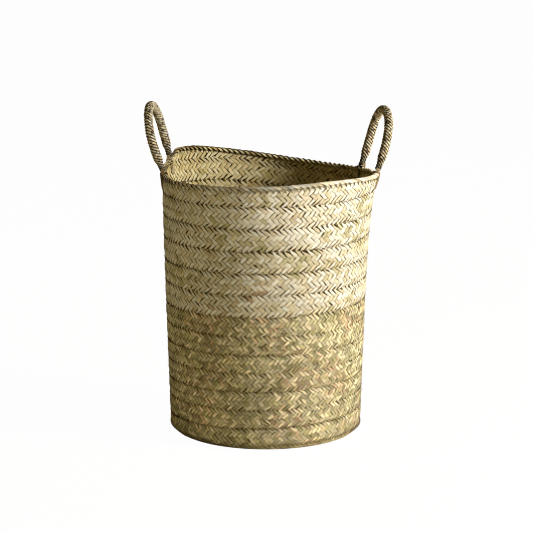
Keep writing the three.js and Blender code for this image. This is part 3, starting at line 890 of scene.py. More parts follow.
def edge_cord_radius():
    """Radius of the ring that the edge cord makes between the wall's foot and the base."""
    return float(wall_profile(0.0)[0]) - sizes("wall").clearance - sizes("base").cord_radius


def base_radius():
    return edge_cord_radius() - sizes("base").cord_radius - sizes("wall").clearance


def base_seam(u):
    return sizes("base").eye_radius + sizes("base").pitch * np.maximum(0, u - 1)


def base_middle(u):
    """Radius by which the base's strands are spaced, which keeps them from bunching up round the eye."""
    outer = base_seam(u + 1)
    return np.maximum(outer - sizes("base").pitch / 2, SPACED_SHARE * outer)


def lay_on_base(u, part, n):
    """Places in the base, and whether they lie in the eye or past its edge."""
    base, lap = sizes("base"), sizes("plait").seam_lap
    low = base_seam(u + 1) - base.pitch - lap / 2
    radius = low + part * (base.pitch + lap)
    inner, outer = base.eye_radius * EYE_LAP, base_radius()
    places = polar(np.clip(radius, inner, outer), winding_azimuth(u), base.thickness / 2 - n)
    return places, (radius < inner) | (radius > outer)


def strand_row(name, strand, count, first, spacing, pinch, wobble, seed, leaf):
    """A row of copies of one strand, which differ in width and leave gaps as the plait's strands do."""
    plait = sizes("plait")
    return made_by(strand_row_tree, strand, name, {
        "Strands": count,
        "First": first,
        "Spacing": spacing,
        "Width spread": plait.width_spread,
        "Pinch": pinch,
        "Gaps": plait.gaps,
        "Gap scale": plait.gap_scale,
        "Wobble": wobble,
        "Wobble scale": plait.wobble_scale,
        "Seed": seed,
        "Leaf": bpy.data.materials[leaf],
    })


def plait_piece(name, node, first_turn, last_turn):
    """A stretch of a plaited band, laid in its place between two turns of the winding."""
    band, plait = bands()[node], sizes("plait")
    stops, spacing, width = band["stops"], band["spacing"], band["pitch"]
    turns, lengths = winding_length(band["radius"], stops[0], stops[-1])
    middle = (DIVES[0] + DIVES[-1]) / 2 * spacing
    start, end = np.interp([first_turn, last_turn], turns, lengths)
    if first_turn == stops[0]:
        start -= PLAIT_ROWS * spacing
    if last_turn == stops[-1]:
        end += PLAIT_ROWS * spacing
    first, last = (math.ceil((place - middle) / spacing) for place in (start, end))
    strand = strand_mesh(spacing, width)
    seed = SEEDS["plait"] + first
    piece = strand_row(
        name, strand, last - first, first * spacing, spacing, plait.pinch, plait.wobble, seed, band["leaf"]
    )
    x, y, z = read_places(piece.data).T
    places, outside = band["lay"](np.interp(np.clip(x, 0, lengths[-1]), lengths, turns), y / width, z)
    outside = outside | (x < 0) | (x > lengths[-1])
    write_places(piece.data, places)
    add_bake_map(piece.data)
    if outside.any():
        trim(piece.data, outside)
    declare(piece, node)


def winding_stops():
    """Turns at which the wall's bands are spliced and end, and at which the base's band ends."""
    wall, base = sizes("wall"), sizes("base")
    splice = wall.lower_rows + 1
    return splice, splice + wall.upper_rows, 1 + (base_radius() - base.eye_radius) / base.pitch


def bands():
    """The plaited bands by the nodes they stand for. Each is made in pieces, from stop to stop."""
    wall, base, plait = sizes("wall"), sizes("base"), sizes("plait")
    splice, end, base_end = winding_stops()
    green = {"spacing": plait.lower_spacing, "leaf": "green plait", "slot": "green_leaf"}
    pale = {"spacing": plait.upper_spacing, "leaf": "pale plait", "slot": "pale_leaf"}
    on_wall = {"radius": wall_radius, "lay": lay_on_wall}
    return {
        "base_spiral": {
            "name": "base_plait",
            "pitch": base.pitch,
            "stops": (0, base_end),
            "radius": base_middle,
            "lay": lay_on_base,
            **green,
        },
        "wall_band_lower": {
            "name": "lower_plait",
            "pitch": wall.lower_pitch,
            "stops": (0, *LOWER_PARTINGS, splice),
            **on_wall,
            **green,
        },
        "wall_band_upper": {
            "name": "upper_plait",
            "pitch": wall.upper_pitch,
            "stops": (splice, splice + UPPER_PARTING, end - 1, end),
            **on_wall,
            **pale,
        },
    }


def make_band(node):
    name, stops = bands()[node]["name"], bands()[node]["stops"]
    for number, (first, last) in enumerate(zip(stops[:-1], stops[1:]), 1):
        plait_piece(name if len(stops) == 2 else f"{name}_{number}", node, first, last)


def make_heart(node):
    """A dark sheet of painted shade inside a plaited band, which its gaps show."""
    band = bands()[node]
    first, last = band["stops"][0], band["stops"][-1]
    turns = np.linspace(first, last, round(SHADE_SHEET_POINTS * (last - first)))
    u, part = np.meshgrid(turns, np.linspace(0, 1, SHADE_SHEET_ROWS + 1), indexing="ij")
    places, outside = band["lay"](u.ravel(), part.ravel(), np.zeros(u.size))
    mesh = sheet_mesh(band["name"] + "_heart", places.reshape(*u.shape, 3), closed=False)
    trim(mesh, outside)
    heart_piece(mesh, node)


def ring_heart(name, steps, place, node):
    """A dark tube of painted shade, from a function of azimuth and of the angle round the ring's section."""
    azimuths = np.linspace(0, 360, steps, endpoint=False)
    turns = np.radians(np.linspace(0, 360, SHADE_SHEET_SIDES + 1))
    azimuth, turn = np.meshgrid(azimuths, turns, indexing="ij")
    heart_piece(sheet_mesh(name, place(azimuth, turn), closed=True), node)


def sheet_mesh(name, grid, closed):
    """A sheet through a grid of points, joined end to end along its first direction if it is closed."""
    rows, columns = grid.shape[:2]
    row, column = np.meshgrid(np.arange(rows if closed else rows - 1), np.arange(columns - 1), indexing="ij")
    here = (row * columns + column).ravel()
    there = ((row + 1) % rows * columns + column).ravel()
    quads = np.stack([here, there, there + 1, here + 1], -1)
    mesh = bpy.data.meshes.new(name)
    mesh.from_pydata(grid.reshape(-1, 3).tolist(), [], quads.tolist())
    return mesh


# A matt sheet of painted shade, in the painted shade colour.
def heart_piece(mesh, node):
    mesh.materials.append(bpy.data.materials["heart"])
    mesh.shade_smooth()
    declare(add_object(mesh.name, mesh), node)


def make_eye():
    """The folded start of the base spiral: a small square of crossing strands."""
    base, plait = sizes("base"), sizes("plait")
    count = base.eye_strands
    step = 2 * base.eye_radius / count
    x = np.linspace(-base.eye_reach, base.eye_reach, EYE_STEPS + 1) * base.eye_radius
    sideways, upwards = np.eye(3)[1:]
    strips = []
    for direction in (0, 1):
        for number in range(count):
            y = np.full_like(x, (number - (count - 1) / 2) * step)
            over = np.cos(math.pi * (x / step + number + direction + (count - 1) / 2))
            z = over * plait.rise * base.eye_rise + base.thickness / 2
            line = np.stack([x, y, z], -1)
            rings = leaf_rings(line, sideways, upwards, step * base.eye_fill / 2, plait.thickness / 2)
            if direction:
                rings = rings[..., [1, 0, 2]] * (-1, 1, 1)
            strips.append((rings, x, SECTION_MAP * step / 2))
    declare(joined_strips("base_eye", strips, "green plait"), "base_spiral")


def joined_strips(name, strips, leaf, tone=1.0):
    """One object of strips that were made one by one, each with its own tone."""
    work = bmesh.new()
    for number, (rings, along, across) in enumerate(strips):
        plain = np.zeros(len(rings))
        whole = plain.astype(int)
        mesh = ring_mesh(
            name, rings, along, across, np.zeros_like(rings), plain, whole, edge_dark=LOOSE_EDGE_SHADE
        )
        write_attribute(mesh, "strand", "INT", "POINT", np.full(len(mesh.vertices), number))
        for label, value in (
            ("tone", tone * (1 + number * TONE_STEP % 1) / 2),
            ("shade", (number * SHADE_STEP + SHADE_START) % 1),
        ):
            write_attribute(mesh, label, "FLOAT", "FACE", np.full(len(mesh.polygons), value))
        work.from_mesh(mesh)
        bpy.data.meshes.remove(mesh)
    mesh = bpy.data.meshes.new(name)
    work.to_mesh(mesh)
    work.free()
    add_bake_map(mesh)
    mesh.materials.append(bpy.data.materials[leaf])
    return add_object(name, mesh)


# Lacing and stitches

def cord_base(name, centre, out, up, size, shadow=None):
    """A polyline for the cord tree, with the arms that wind round it, the cord's size and its shadow."""
    mesh = bpy.data.meshes.new(name)
    mesh.from_pydata(centre.tolist(), [(i, i + 1) for i in range(len(centre) - 1)], [])
    for label, arms in (("out", out), ("up", up)):
        write_attribute(mesh, label, "FLOAT_VECTOR", "POINT", arms)
    for label, values in (("size", size), ("shadow", shadow)):
        if values is not None:
            write_attribute(mesh, label, "FLOAT", "POINT", values)
    return mesh


def laid_cords(name, base, cords, lead, radius, sides, knots, leaf):
    return made_by(laid_cord_tree, base, name, {
        "Cords": cords,
        "Lead": lead,
        "Radius": radius,
        "Knots": knots,
        "Knot scale": sizes("handles").knot_scale,
        "Sides": sides,
        "Leaf": bpy.data.materials[leaf],
    })


def lacing_piece(name, node, first, last, lead, frame_at, radius_at):
    """Lacing that goes round a seam once in each lead. Its outside strokes fall to the right."""
    lacing = sizes("lacing")
    turns, lengths = winding_length(radius_at, first, last)
    steps = int(lengths[-1] / lead * lacing.steps)
    u = np.interp(np.linspace(0, lengths[-1], steps), lengths, turns)
    centre, out, up = frame_at(u)
    base = cord_base(name, centre, out * lacing.reach_out, -up * lacing.reach_up, np.ones(steps))
    cord = laid_cords(name, base, 1, lead, lacing.cord_radius, LACING_SIDES, 0.0, "lacing leaf")
    declare(cord, node)


def wall_frame(s, azimuth, n):
    """Points in the wall, with the directions out of it and up it."""
    centre = wall_points(s, azimuth, n)
    out = unit(wall_points(s, azimuth, n + PROBE) - centre)
    up = unit(wall_points(s + PROBE, azimuth, n) - centre)
    return centre, out, up


def wall_lacing(name, node, first, last, lead, slant_at, n=0.0):
    """Lacing along a line on the wall, whose slant is a function of the turn."""

    def frame_at(u):
        return wall_frame(slant_at(u), winding_azimuth(u), n)

    def radius_at(u):
        return wall_profile(slant_at(u))[0]

    lacing_piece(name, node, first, last, lead, frame_at, radius_at)


def base_seam_frame(u):
    out = polar(1.0, winding_azimuth(u), 0.0)
    centre = out * base_seam(u)[:, None] + (0, 0, sizes("base").thickness / 2)
    return centre, np.tile([0.0, 0.0, -sizes("lacing").base_share], (len(u), 1)), out


def make_lacing():
    plait, lacing, rim = sizes("plait"), sizes("lacing"), sizes("rim")
    splice, end, base_end = winding_stops()
    late = 1 + LACING_LATE
    low = plait.lower_spacing

    def under_edge(u):
        return top_edge(winding_azimuth(u)) - lacing.reach_up / 2

    def above_foot(u):
        return np.full_like(u, lacing.foot_height)

    wall_lacing("lower_lacing", "wall_seam_cord", late, splice, low, seam)
    wall_lacing("upper_lacing", "wall_seam_cord", splice, end - WALL_LACING_EARLY, plait.upper_spacing, seam)
    base_end -= BASE_LACING_EARLY
    lacing_piece("base_lacing", "base_seam_cord", late, base_end, low, base_seam_frame, base_seam)
    wall_lacing("rim_lacing", "wall_seam_cord", 0, 1, rim.spacing, under_edge, plait.crown)
    wall_lacing("foot_lacing", "base_edge_cord", 0, 1, low, above_foot, plait.crown)


def make_foot_stitches():
    """Stitches round the cord that joins the base to the wall, and a tube of painted shade in the cord's
    place.
    """
    lacing, base = sizes("lacing"), sizes("base")
    ring = edge_cord_radius()
    thick = base.cord_radius + sizes("wall").clearance * SHADE_SHEET_LAP

    def inside(azimuth, turn):
        return polar(ring + thick * np.cos(turn), azimuth, base.thickness / 2 + thick * np.sin(turn))

    ring_heart("foot_heart", FOOT_SHADE_SHEET_STEPS, inside, "base_edge_cord")
    stitches = round(TURN * ring / sizes("plait").lower_spacing)
    out = polar(1.0, np.linspace(0, 360, stitches * lacing.steps + 1), 0.0)
    centre = out * ring + (0, 0, base.thickness / 2 + lacing.foot_lift)
    up = np.tile([0.0, 0.0, -lacing.stitch_up], (len(out), 1))
    path = cord_base("foot_stitches", centre, out * lacing.stitch_out, up, np.ones(len(out)))
    lead, radius = TURN * ring / stitches, lacing.stitch_radius
    cord = laid_cords("foot_stitches", path, 1, lead, radius, STITCH_SIDES, 0.0, "lacing leaf")
    declare(cord, "base_edge_cord")


# Rim

def rim_line(azimuth):
    """Slant of the edging's middle line."""
    rim = sizes("rim")
    return top_edge(azimuth) + rim.half_height + sizes("wall").clearance


def make_edging():
    """Strips bound over the wall's top edge, one after the other, and a tube of painted shade inside them."""
    rim = sizes("rim")
    azimuths = np.linspace(0, 360, RIM_STEPS + 1)
    lengths = lengths_along(wall_points(rim_line(azimuths), azimuths, 0))
    count = round(lengths[-1] / rim.spacing)
    spacing, seed = lengths[-1] / count, SEEDS["binding"]
    piece = strand_row(
        "rim_binding", binding_mesh(), count, 0.0, spacing, 0.0, rim.wobble, seed, "binding leaf"
    )
    x, y, z = read_places(piece.data).T
    azimuth = np.interp(x % lengths[-1], lengths, azimuths)
    write_places(piece.data, wall_points(rim_line(azimuth) + y, azimuth, z))
    add_bake_map(piece.data)
    declare(piece, "rim_edging")

    # The tube of painted shade inside the binding strips, which their gaps show.
    def core(azimuth, turn):
        up = rim.core * rim.half_height * np.sin(turn)
        return wall_points(rim_line(azimuth) + up, azimuth, rim.core * rim.half_width * np.cos(turn))

    ring_heart("rim_heart", RIM_SHADE_SHEET_STEPS, core, "rim_edging")


# Handles

def hinge_point(azimuth):
    handles, rim, wall = sizes("handles"), sizes("rim"), sizes("wall")
    lift = 2 * wall.clearance + handles.tie_slack + handles.tie_thickness + handles.foot_radius
    return wall_points(rim_line(azimuth) + rim.half_height, azimuth, handles.outset) + (0, 0, lift)


def loop_line(loop, count):
    """Middle line of a handle, places along it from its front hinge point, its length and its way out."""
    handles = sizes("handles")
    front, back = hinge_point(loop["front"]), hinge_point(loop["back"])
    middle, half = (front + back) / 2, np.linalg.norm(back - front) / 2
    chord = unit(back - front)
    out = unit(np.cross(chord, (0, 0, 1)))
    out = out * np.sign(out @ middle)
    up = np.cross(out, chord)
    up = up * np.sign(up[2])
    turn = np.linspace(0, math.pi, LOOP_POINTS)
    t = np.abs(np.sin(turn)) ** handles.roundness
    across = -half * np.cos(turn) * (1 + 4 * loop["swell"] * t * (1 - t))
    lean = loop["rise"] * (loop["lean"] * t - loop["curl"] * t * t)
    lean = lean * (1 - loop["twist"] * across / half)
    line = middle + chord * across[:, None] + up * (loop["rise"] * t)[:, None] + out * lean[:, None]
    reach = handles.knuckle * handles.foot_radius
    before = line[0] - unit(line[END_STEPS] - line[0]) * reach
    after = line[-1] + unit(line[-1] - line[-1 - END_STEPS]) * reach
    line = np.concatenate([[before], line, [after]])
    lengths = lengths_along(line)
    places = np.linspace(0, lengths[-1], count)
    evened = np.stack([np.interp(places, lengths, line[:, k]) for k in range(3)], -1)
    return evened, places - reach, lengths[-1] - 2 * reach, out


def rope_size(along, total):
    """Thickness along the rope as a share of its full one: thin feet and round ends past the hinge points."""
    handles = sizes("handles")
    foot = np.minimum(along, total - along)
    part = np.clip((foot - handles.foot_length) / (handles.taper_length - handles.foot_length), 0, 1)
    grown = part * part * (3 - 2 * part)
    thin = handles.foot_radius - handles.cord_stand
    radius = thin + (handles.rope_radius - thin) * grown
    past = np.clip(-foot, 0, thin * ROUND_END)
    return np.sqrt(radius**2 - past**2) / handles.rope_radius


def rope_piece(name, loop, wrap):
    """The cords wrapped round a handle, or the bundle of plies inside them."""
    handles = sizes("handles")
    line, along, total, out = loop_line(loop, WRAP_POINTS if wrap else CORE_POINTS)
    if wrap:
        size = rope_size(along, total)
        cords, lead, radius, sides = handles.cords, handles.lead, handles.cord_radius, WRAP_SIDES
        arm = handles.rope_radius + handles.cord_stand - radius
    else:
        kept = (along > handles.core_start) & (along < total - handles.core_start)
        line, along = line[kept], along[kept]
        size = np.ones(len(line))
        radius = handles.core_radius * PLY_RADIUS
        cords, lead, sides = CORE_PLIES, handles.lead * PLY_LEAD, CORE_SIDES
        arm = handles.core_radius - radius
    tangent = unit(np.gradient(line, axis=0))
    side = unit(out - tangent * (tangent @ out)[:, None])
    other = np.cross(tangent, side)
    foot = np.minimum(along, total - along)
    shadow = handles.foot_shadow * np.exp(-((foot / handles.foot_shadow_reach) ** 2))
    base = cord_base(name, line, side * (arm * size)[:, None], other * (arm * size)[:, None], size, shadow)
    return laid_cords(name, base, cords, -lead, radius, sides, handles.cord_knots, "laid cord")


def make_ropes():
    for side, loop in HANDLES.items():
        body = side + "_handle"
        declare(rope_piece(side + "_rope", loop, True), body + "_wrap", body)
        declare(rope_piece(side + "_rope_core", loop, False), body + "_core", body)


def foot_frame(azimuth):
    """Middle, outward, upward and rimwise directions of the tie at one foot."""
    rim, handles = sizes("rim"), sizes("handles")
    top = float(rim_line(azimuth)) + rim.half_height
    origin = wall_points(top - handles.tie_drop / 2, azimuth, 0)
    ahead, behind = azimuth + TIE_SIGHT, azimuth - TIE_SIGHT
    along = unit(wall_points(rim_line(ahead), ahead, 0) - wall_points(rim_line(behind), behind, 0))
    up = wall_points(top, azimuth, 0) - wall_points(top - handles.tie_drop, azimuth, 0)
    up = unit(up - along * (up @ along))
    return origin, np.cross(along, up), up, along


def tie_path():
    """Points and outward directions of a tie's course, several times round a rectangle with bent corners."""
    rim, wall, handles = sizes("rim"), sizes("wall"), sizes("handles")
    room = wall.clearance + handles.tie_slack + handles.tie_thickness / 2 - handles.tie_bend
    span, high = rim.half_width + room, handles.tie_drop / 2 + room
    low = handles.tie_bend - handles.tie_drop / 2
    points, normals = [], []
    for x, y, start in ((-span, low, 180), (span, low, 270), (span, high, 0), (-span, high, 90)) * TIE_ROUNDS:
        a = np.radians(np.arange(start, start + 91, TIE_BEND_STEP))
        normals.append(np.stack([np.cos(a), np.sin(a)], -1))
        points.append((x, y) + handles.tie_bend * normals[-1])
    return np.concatenate(points), np.concatenate(normals)


def tie_strips(azimuth, bulge):
    """A leaf wound over the rim and through the wall, as one strip for each of its leaves."""
    handles = sizes("handles")
    origin, out, up, along = foot_frame(azimuth)
    points, normals = tie_path()
    lengths = lengths_along(points)
    turn = lengths[-1] / TIE_ROUNDS
    leaf_half = handles.tie_width * TIE_LEAF_HALF
    leaf_skin = handles.tie_thickness * TIE_LEAF_SKIN
    strips = []
    for number in range(TIE_LEAVES):
        first = turn * (TIE_START + TIE_START_STEP * number)
        places = np.linspace(first, first + turn * TIE_LAP, TIE_POINTS)
        x, y, nx, ny = (np.interp(places, lengths, line) for line in (*points.T, *normals.T))
        climb = (y - y.min()) / np.ptp(y)
        x = x * (TIE_CLOSED + (1 - TIE_CLOSED) * climb ** TIE_CLOSING[number % len(TIE_CLOSING)])
        x = x + bulge * np.sin(math.pi * climb) * (x > 0) * (number % 2)
        gathered = TIE_GATHERED + (1 - TIE_GATHERED) * climb
        shift = (number - (TIE_LEAVES - 1) / 2) * handles.tie_width / TIE_LEAVES * gathered
        lift = -handles.tie_thickness / 2 * (number % 2)
        centre = origin + out * (x + nx * lift)[:, None] + up * (y + ny * lift)[:, None]
        centre = centre + along * shift[:, None]
        normal = unit(out * nx[:, None] + up * ny[:, None])
        half = leaf_half * (TIE_LEAF_LOW + TIE_LEAF_GROWTH * climb)
        rings = leaf_rings(centre, along, normal, half[:, None], leaf_skin)
        strips.append((rings, places, SECTION_MAP * leaf_half))
    return strips


def lashing_strips(azimuth):
    """Loops of leaf that pass through the rope's end on the hinge line and under the tie."""
    handles = sizes("handles")
    _, out, up, along = foot_frame(azimuth)
    half_along = handles.foot_radius + handles.lash_room
    drop = half_along + handles.tie_thickness
    middle = hinge_point(azimuth) - up * (drop / 2)
    a = np.linspace(0, TURN, LASH_POINTS)
    flat, rise = (np.sign(part) * np.abs(part) ** LASH_SQUARENESS for part in (np.cos(a), np.sin(a)))
    loop = middle + along * (flat * half_along)[:, None] + up * (rise * drop / 2)[:, None]
    normal = unit(along * (flat / half_along)[:, None] + up * (rise / drop * 2)[:, None])
    half, skin = handles.lash_width / 2, handles.lash_thickness / 2
    strips = []
    for number in range(LASHES):
        shift = (number - (LASHES - 1) / 2) * handles.lash_spacing
        rings = leaf_rings(loop + out * shift, out, normal, half, skin)
        strips.append((rings, a * half_along, SECTION_MAP * half))
    return strips


def make_feet():
    for side, loop in HANDLES.items():
        for end in ("front", "back"):
            foot, azimuth, tone = f"{side}_{end}", loop[end], loop[end + "_tone"]
            tie = joined_strips(foot + "_leaf_tie", tie_strips(azimuth, loop["bulge"]), "tie leaf", tone)
            declare(tie, foot + "_tie")
            tone = tone * LASH_TONE
            lashing = joined_strips(foot + "_lashing", lashing_strips(azimuth), "tie leaf", tone)
            declare(lashing)


# Leaf materials

# Dried leaf. Its ribs are noise, stretched by RIB_SCALE. The tone along a leaf's colours is the strand's own,
# weighed, plus that of patches. Shade, ribs and patches change its brightness at random. Edges and hollows
# take painted shade, less dark where a float is tight. Beyond INNER_FACING a surface counts as the basket's
# inside, which takes painted shade too.
RIB_SCALE = (30.0, 520.0, 1.0)
RIB_DETAIL = 3.0
RIB_LIGHT = (0.7, 1.3)
RIB_BUMP = {"Strength": 0.5, "Distance": 0.0004}
PATCH_DETAIL = 2.0
PATCH_TONES = (-0.5, 0.9)
OWN_TONE = 0.6
TIGHT_HOLLOW = 0.4
INNER_FACING = (0.0, -0.3)
ROUGHNESS_SPREAD = 0.12
LEAF_SPECULAR = 0.15
MATT_SPECULAR = 0.1
MATT_ROUGHNESS = 0.9

# Each leaf: the colours that its tones run through, how rough it is, and what differs from the usual.
LEAVES = {
    "green plait": {
        "stops": ((0.0, "green"), (0.45, "straw"), (0.65, "green"), (0.85, "rose"), (1.0, "straw")),
        "roughness": 0.5,
        "shades": (0.62, 1.34),
    },
    "pale plait": {
        "stops": ((0.0, "green"), (0.3, "straw"), (0.6, "cream"), (0.85, "straw"), (1.0, "rose")),
        "roughness": 0.58,
        "hollow": 0.62,
        "mottle": 0.1,
        "shades": (0.88, 1.04),
    },
    "binding leaf": {
        "stops": ((0.0, "tan"), (0.35, "straw"), (0.7, "cream"), (1.0, "tan")),
        "roughness": 0.5,
    },
    # The lacing runs from the painted shade colour to tan, so that it shows the shade in its seams.
    "lacing leaf": {
        "stops": ((0.0, "crevice"), (0.5, "tan"), (1.0, "crevice")),
        "roughness": 0.6,
        "inner": 0,
    },
    "laid cord": {
        "stops": ((0.0, "tan"), (0.4, "straw"), (0.8, "cream"), (1.0, "straw")),
        "roughness": 0.6,
        "patch_scale": 230.0,
        "hollow": 1.0,
        "mottle": 0.5,
        "inner": 0,
    },
    "tie leaf": {
        "stops": ((0.0, "crevice"), (0.2, "tan"), (0.5, "straw"), (1.0, "straw")),
        "roughness": 0.55,
        "inner": 0,
    },
}


def plain_material(name, shade, roughness, specular):
    material = bpy.data.materials.new(name)
    material.use_nodes = True
    shader = material.node_tree.nodes["Principled BSDF"].inputs
    shader["Base Color"].default_value = (*getattr(sizes("colours"), shade), 1)
    shader["Roughness"].default_value = roughness
    shader["Specular IOR Level"].default_value = specular
    return material


def leaf_material(
    name, stops, roughness, patch_scale=14.0, hollow=0.95, mottle=0.2, shades=(0.7, 1.25), inner=1.0
):
    """Dried palm leaf: tone per strand and per patch, fine ribs along the leaf, painted shade in edges and
    hollows.
    """
    colours = sizes("colours")
    material = plain_material(name, "straw", roughness, LEAF_SPECULAR)
    tree = Tree(material.node_tree)
    shader = material.node_tree.nodes["Principled BSDF"].inputs

    def attribute(label):
        return tree.add("ShaderNodeAttribute", attribute_name=label).outputs["Fac"]

    def ranged(value, low, high):
        return tree.one("ShaderNodeMapRange", value, 0.0, 1.0, low, high)

    def calculated(operation, a, b, kind="Math"):
        return tree.one("ShaderNode" + kind, a, b, operation=operation)

    def mixed(part, first, second, blend):
        return tree.one("ShaderNodeMix", part, first, second, data_type="RGBA", blend_type=blend)

    leaf = tree.add("ShaderNodeUVMap", uv_map="LeafMap").outputs["UV"]
    stretched = tree.add("ShaderNodeMapping", leaf, None, None, RIB_SCALE).outputs["Vector"]
    ribs = tree.noise(stretched, 1.0, RIB_DETAIL, "2D").outputs["Fac"]
    coordinates = tree.add("ShaderNodeTexCoord").outputs
    patches = tree.noise(coordinates["Object"], patch_scale, PATCH_DETAIL).outputs["Color"]
    patches = tree.add("ShaderNodeSeparateColor", patches).outputs
    tone = calculated("MULTIPLY", attribute("tone"), OWN_TONE)
    tone = calculated("ADD", tone, ranged(patches["Red"], *PATCH_TONES))
    ramp = tree.add("ShaderNodeValToRGB", tone)
    elements = ramp.color_ramp.elements
    while len(elements) < len(stops):
        elements.new(0.5)
    for element, (position, label) in zip(elements, stops):
        element.position = position
        element.color = (*getattr(colours, label), 1)
    light = calculated("MULTIPLY", ranged(attribute("shade"), *shades), ranged(ribs, *RIB_LIGHT))
    light = calculated("MULTIPLY", light, ranged(patches["Green"], 1 - mottle * 2, 1 + mottle * 2))
    hue = tree.add("ShaderNodeHueSaturation")
    tree.feed(hue.inputs["Value"], light)
    tree.feed(hue.inputs["Color"], ramp.outputs["Color"])

    # Painted shade on the basket's inside: surfaces that face its axis are darkened by the inner side colour.
    axis = calculated("MULTIPLY", coordinates["Object"], (1, 1, 0), "VectorMath")
    axis = calculated("NORMALIZE", axis, None, "VectorMath")
    facing = calculated("DOT_PRODUCT", coordinates["Normal"], axis, "VectorMath")
    inside = tree.one("ShaderNodeMapRange", facing, *INNER_FACING, 0.0, inner)
    tinted = mixed(inside, hue.outputs["Color"], (*colours.inner, 1), "MULTIPLY")
    # Painted shade in edges and hollows, as deep as the hollow share, less where the float is tight.
    dark = ranged(attribute("tight"), hollow, hollow * TIGHT_HOLLOW)
    dark = calculated("MULTIPLY", attribute("crevice"), dark)
    tree.feed(shader["Base Color"], mixed(dark, tinted, (*colours.crevice, 1), "MIX"))
    rough = ranged(ribs, roughness + ROUGHNESS_SPREAD, roughness - ROUGHNESS_SPREAD)
    tree.feed(shader["Roughness"], rough)
    bump = tree.add("ShaderNodeBump")
    for label, value in (*RIB_BUMP.items(), ("Height", ribs)):
        tree.feed(bump.inputs[label], value)
    tree.feed(shader["Normal"], bump.outputs["Normal"])


def make_materials():
    plain_material("heart", "crevice", MATT_ROUGHNESS, MATT_SPECULAR)
    for name, look in LEAVES.items():
        leaf_material(name, **look)


# Operators

class BASKET_OT_stage(bpy.types.Operator):
    """Makes the floor, the lights and the camera"""

    bl_idname = "basket.stage"
    bl_label = "Stage"

    def execute(self, context):
        scene = context.scene
        scene.view_settings.view_transform = "Standard"
        scene.cycles.filter_width = 1.0
        make_floor()
        make_world(scene)
        make_lamps()
        make_camera(scene)
        return {"FINISHED"}


# A wide floor that looks almost white to the camera alone, under a faint warm sky.
FLOOR_HALF = 10.0
FLOOR_WHITE = 1.01
FLOOR_WHITE_PART = 0.97
SKY = (1, 0.86, 0.45, 1)
SKY_STRENGTH = 0.06
WHITE = (1, 1, 1, 1)

# Lamps by name: place, size, watts and tint. They shine on the height LAMP_AIM of the basket's axis.
LAMPS = {
    "key": ((2.7, -0.97, 1.62), 1.2, 146, (0.98, 0.99, 1)),
    "fill": ((-2.6, -1.7, 0.5), 1.8, 10.5, (1, 0.85, 0.42)),
}
LAMP_AIM = 0.28

# The camera that fits the photograph.
CAMERA_DISTANCE = 5.5
CAMERA_ELEVATION = 12.3
CAMERA_AIM = (0.0019, 0, 0.309)
CAMERA_REACH = (0.1, 50)
METRES_PER_PIXEL = 0.001871


def seen_white(tree, kind, strength, shaded, part, output):
    """Mixes white into a surface or a sky where the camera sees it directly."""
    white = tree.add(kind, WHITE, strength).outputs[0]
    seen = tree.add("ShaderNodeLightPath").outputs["Is Camera Ray"]
    seen = tree.add("ShaderNodeMath", seen, part, operation="MULTIPLY").outputs[0]
    mix = tree.add("ShaderNodeMixShader", seen, shaded.outputs[0], white)
    tree.feed(output.inputs["Surface"], mix.outputs[0])


def make_floor():
    mesh = bpy.data.meshes.new("floor")
    corners = [(x * FLOOR_HALF, y * FLOOR_HALF, 0) for x, y in ((-1, -1), (1, -1), (1, 1), (-1, 1))]
    mesh.from_pydata(corners, [], [(0, 1, 2, 3)])
    material = plain_material("floor", "floor", MATT_ROUGHNESS, MATT_SPECULAR)
    nodes = material.node_tree.nodes
    shaded, output = nodes["Principled BSDF"], nodes["Material Output"]
    tree = Tree(material.node_tree)
    seen_white(tree, "ShaderNodeEmission", FLOOR_WHITE, shaded, FLOOR_WHITE_PART, output)
    mesh.materials.append(material)
    add_object("floor", mesh)


def make_world(scene):
    scene.world = bpy.data.worlds.new("studio")
    scene.world.use_nodes = True
    tree = scene.world.node_tree
    sky = tree.nodes["Background"]
    sky.inputs["Color"].default_value = SKY
    sky.inputs["Strength"].default_value = SKY_STRENGTH
    seen_white(Tree(tree), "ShaderNodeBackground", 1.0, sky, 1.0, tree.nodes["World Output"])


def make_lamps():
    for name, (place, size, watts, tint) in LAMPS.items():
        lamp = bpy.data.lights.new(name, "AREA")
        lamp.size = size
        lamp.energy = watts
        lamp.color = tint
        holder = add_object(name, lamp)
        holder.location = place
        aim = Vector((0, 0, LAMP_AIM)) - Vector(place)
        holder.rotation_euler = aim.to_track_quat("-Z", "Y").to_euler()


def make_camera(scene):
    elevation = math.radians(CAMERA_ELEVATION)
    camera = bpy.data.cameras.new("camera")
    camera.lens = camera.sensor_width * CAMERA_DISTANCE / (PHOTO_SIDE * METRES_PER_PIXEL)
    camera.clip_start, camera.clip_end = CAMERA_REACH
    holder = add_object("camera", camera)
    back = Vector((0, -math.cos(elevation), math.sin(elevation)))
    holder.location = Vector(CAMERA_AIM) + back * CAMERA_DISTANCE
    holder.rotation_euler = (-back).to_track_quat("-Z", "Y").to_euler()
    scene.camera = holder


class BASKET_OT_base(bpy.types.Operator):
    """Plaits the base, with its eye and the sheet of painted shade inside it"""

    bl_idname = "basket.base"
    bl_label = "Base"

    def execute(self, context):
        make_band("base_spiral")
        make_heart("base_spiral")
        make_eye()
        return {"FINISHED"}


class BASKET_OT_wall(bpy.types.Operator):
    """Plaits the two bands of the wall"""

    bl_idname = "basket.wall"
    bl_label = "Wall bands"

    def execute(self, context):
        for node in ("wall_band_lower", "wall_band_upper"):
            make_band(node)
            make_heart(node)
        return {"FINISHED"}


class BASKET_OT_seams(bpy.types.Operator):
    """Laces the seams and stitches the foot"""

    bl_idname = "basket.seams"
    bl_label = "Seams"

    def execute(self, context):
        make_lacing()
        make_foot_stitches()
        return {"FINISHED"}


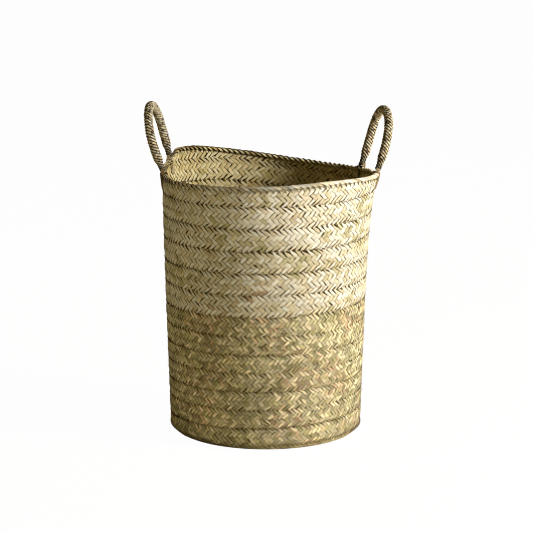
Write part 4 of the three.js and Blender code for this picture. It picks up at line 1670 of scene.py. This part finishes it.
class BASKET_OT_rim(bpy.types.Operator):
    """Binds the rim"""

    bl_idname = "basket.rim"
    bl_label = "Rim"

    def execute(self, context):
        make_edging()
        return {"FINISHED"}


class BASKET_OT_ropes(bpy.types.Operator):
    """Lays the rope handles and their cores"""

    bl_idname = "basket.ropes"
    bl_label = "Rope handles"

    def execute(self, context):
        make_ropes()
        return {"FINISHED"}


class BASKET_OT_feet(bpy.types.Operator):
    """Ties the handles' feet to the rim"""

    bl_idname = "basket.feet"
    bl_label = "Handle feet"

    def execute(self, context):
        make_feet()
        return {"FINISHED"}


class BASKET_PT_panel(bpy.types.Panel):
    """Sizes, colours and steps of the basket"""

    bl_idname = "BASKET_PT_panel"
    bl_label = "Palm leaf basket"
    bl_space_type = "VIEW_3D"
    bl_region_type = "UI"
    bl_category = "Basket"

    def draw(self, context):
        for group, kind in GROUPS.items():
            box = self.layout.box()
            for label in kind.__annotations__:
                box.prop(sizes(group), label)
        for operator in OPERATORS:
            self.layout.operator(operator.bl_idname)


GROUPS = {
    "wall": WallSizes,
    "base": BaseSizes,
    "plait": PlaitSizes,
    "lacing": LacingSizes,
    "rim": RimSizes,
    "handles": HandleSizes,
    "colours": LeafColours,
}
OPERATORS = (
    BASKET_OT_stage,
    BASKET_OT_base,
    BASKET_OT_wall,
    BASKET_OT_seams,
    BASKET_OT_rim,
    BASKET_OT_ropes,
    BASKET_OT_feet,
)


def register():
    for kind in (*GROUPS.values(), *OPERATORS, BASKET_PT_panel):
        bpy.utils.register_class(kind)
    for label, kind in GROUPS.items():
        setattr(bpy.types.Scene, "basket_" + label, bpy.props.PointerProperty(type=kind))


def unregister():
    for label in GROUPS:
        delattr(bpy.types.Scene, "basket_" + label)
    for kind in (BASKET_PT_panel, *reversed(OPERATORS), *GROUPS.values()):
        bpy.utils.unregister_class(kind)


def main():
    register()
    make_materials()
    for operator in OPERATORS:
        family, name = operator.bl_idname.split(".")
        getattr(getattr(bpy.ops, family), name)()
    bpy.context.view_layer.update()


if __name__ == "__main__":
    main()
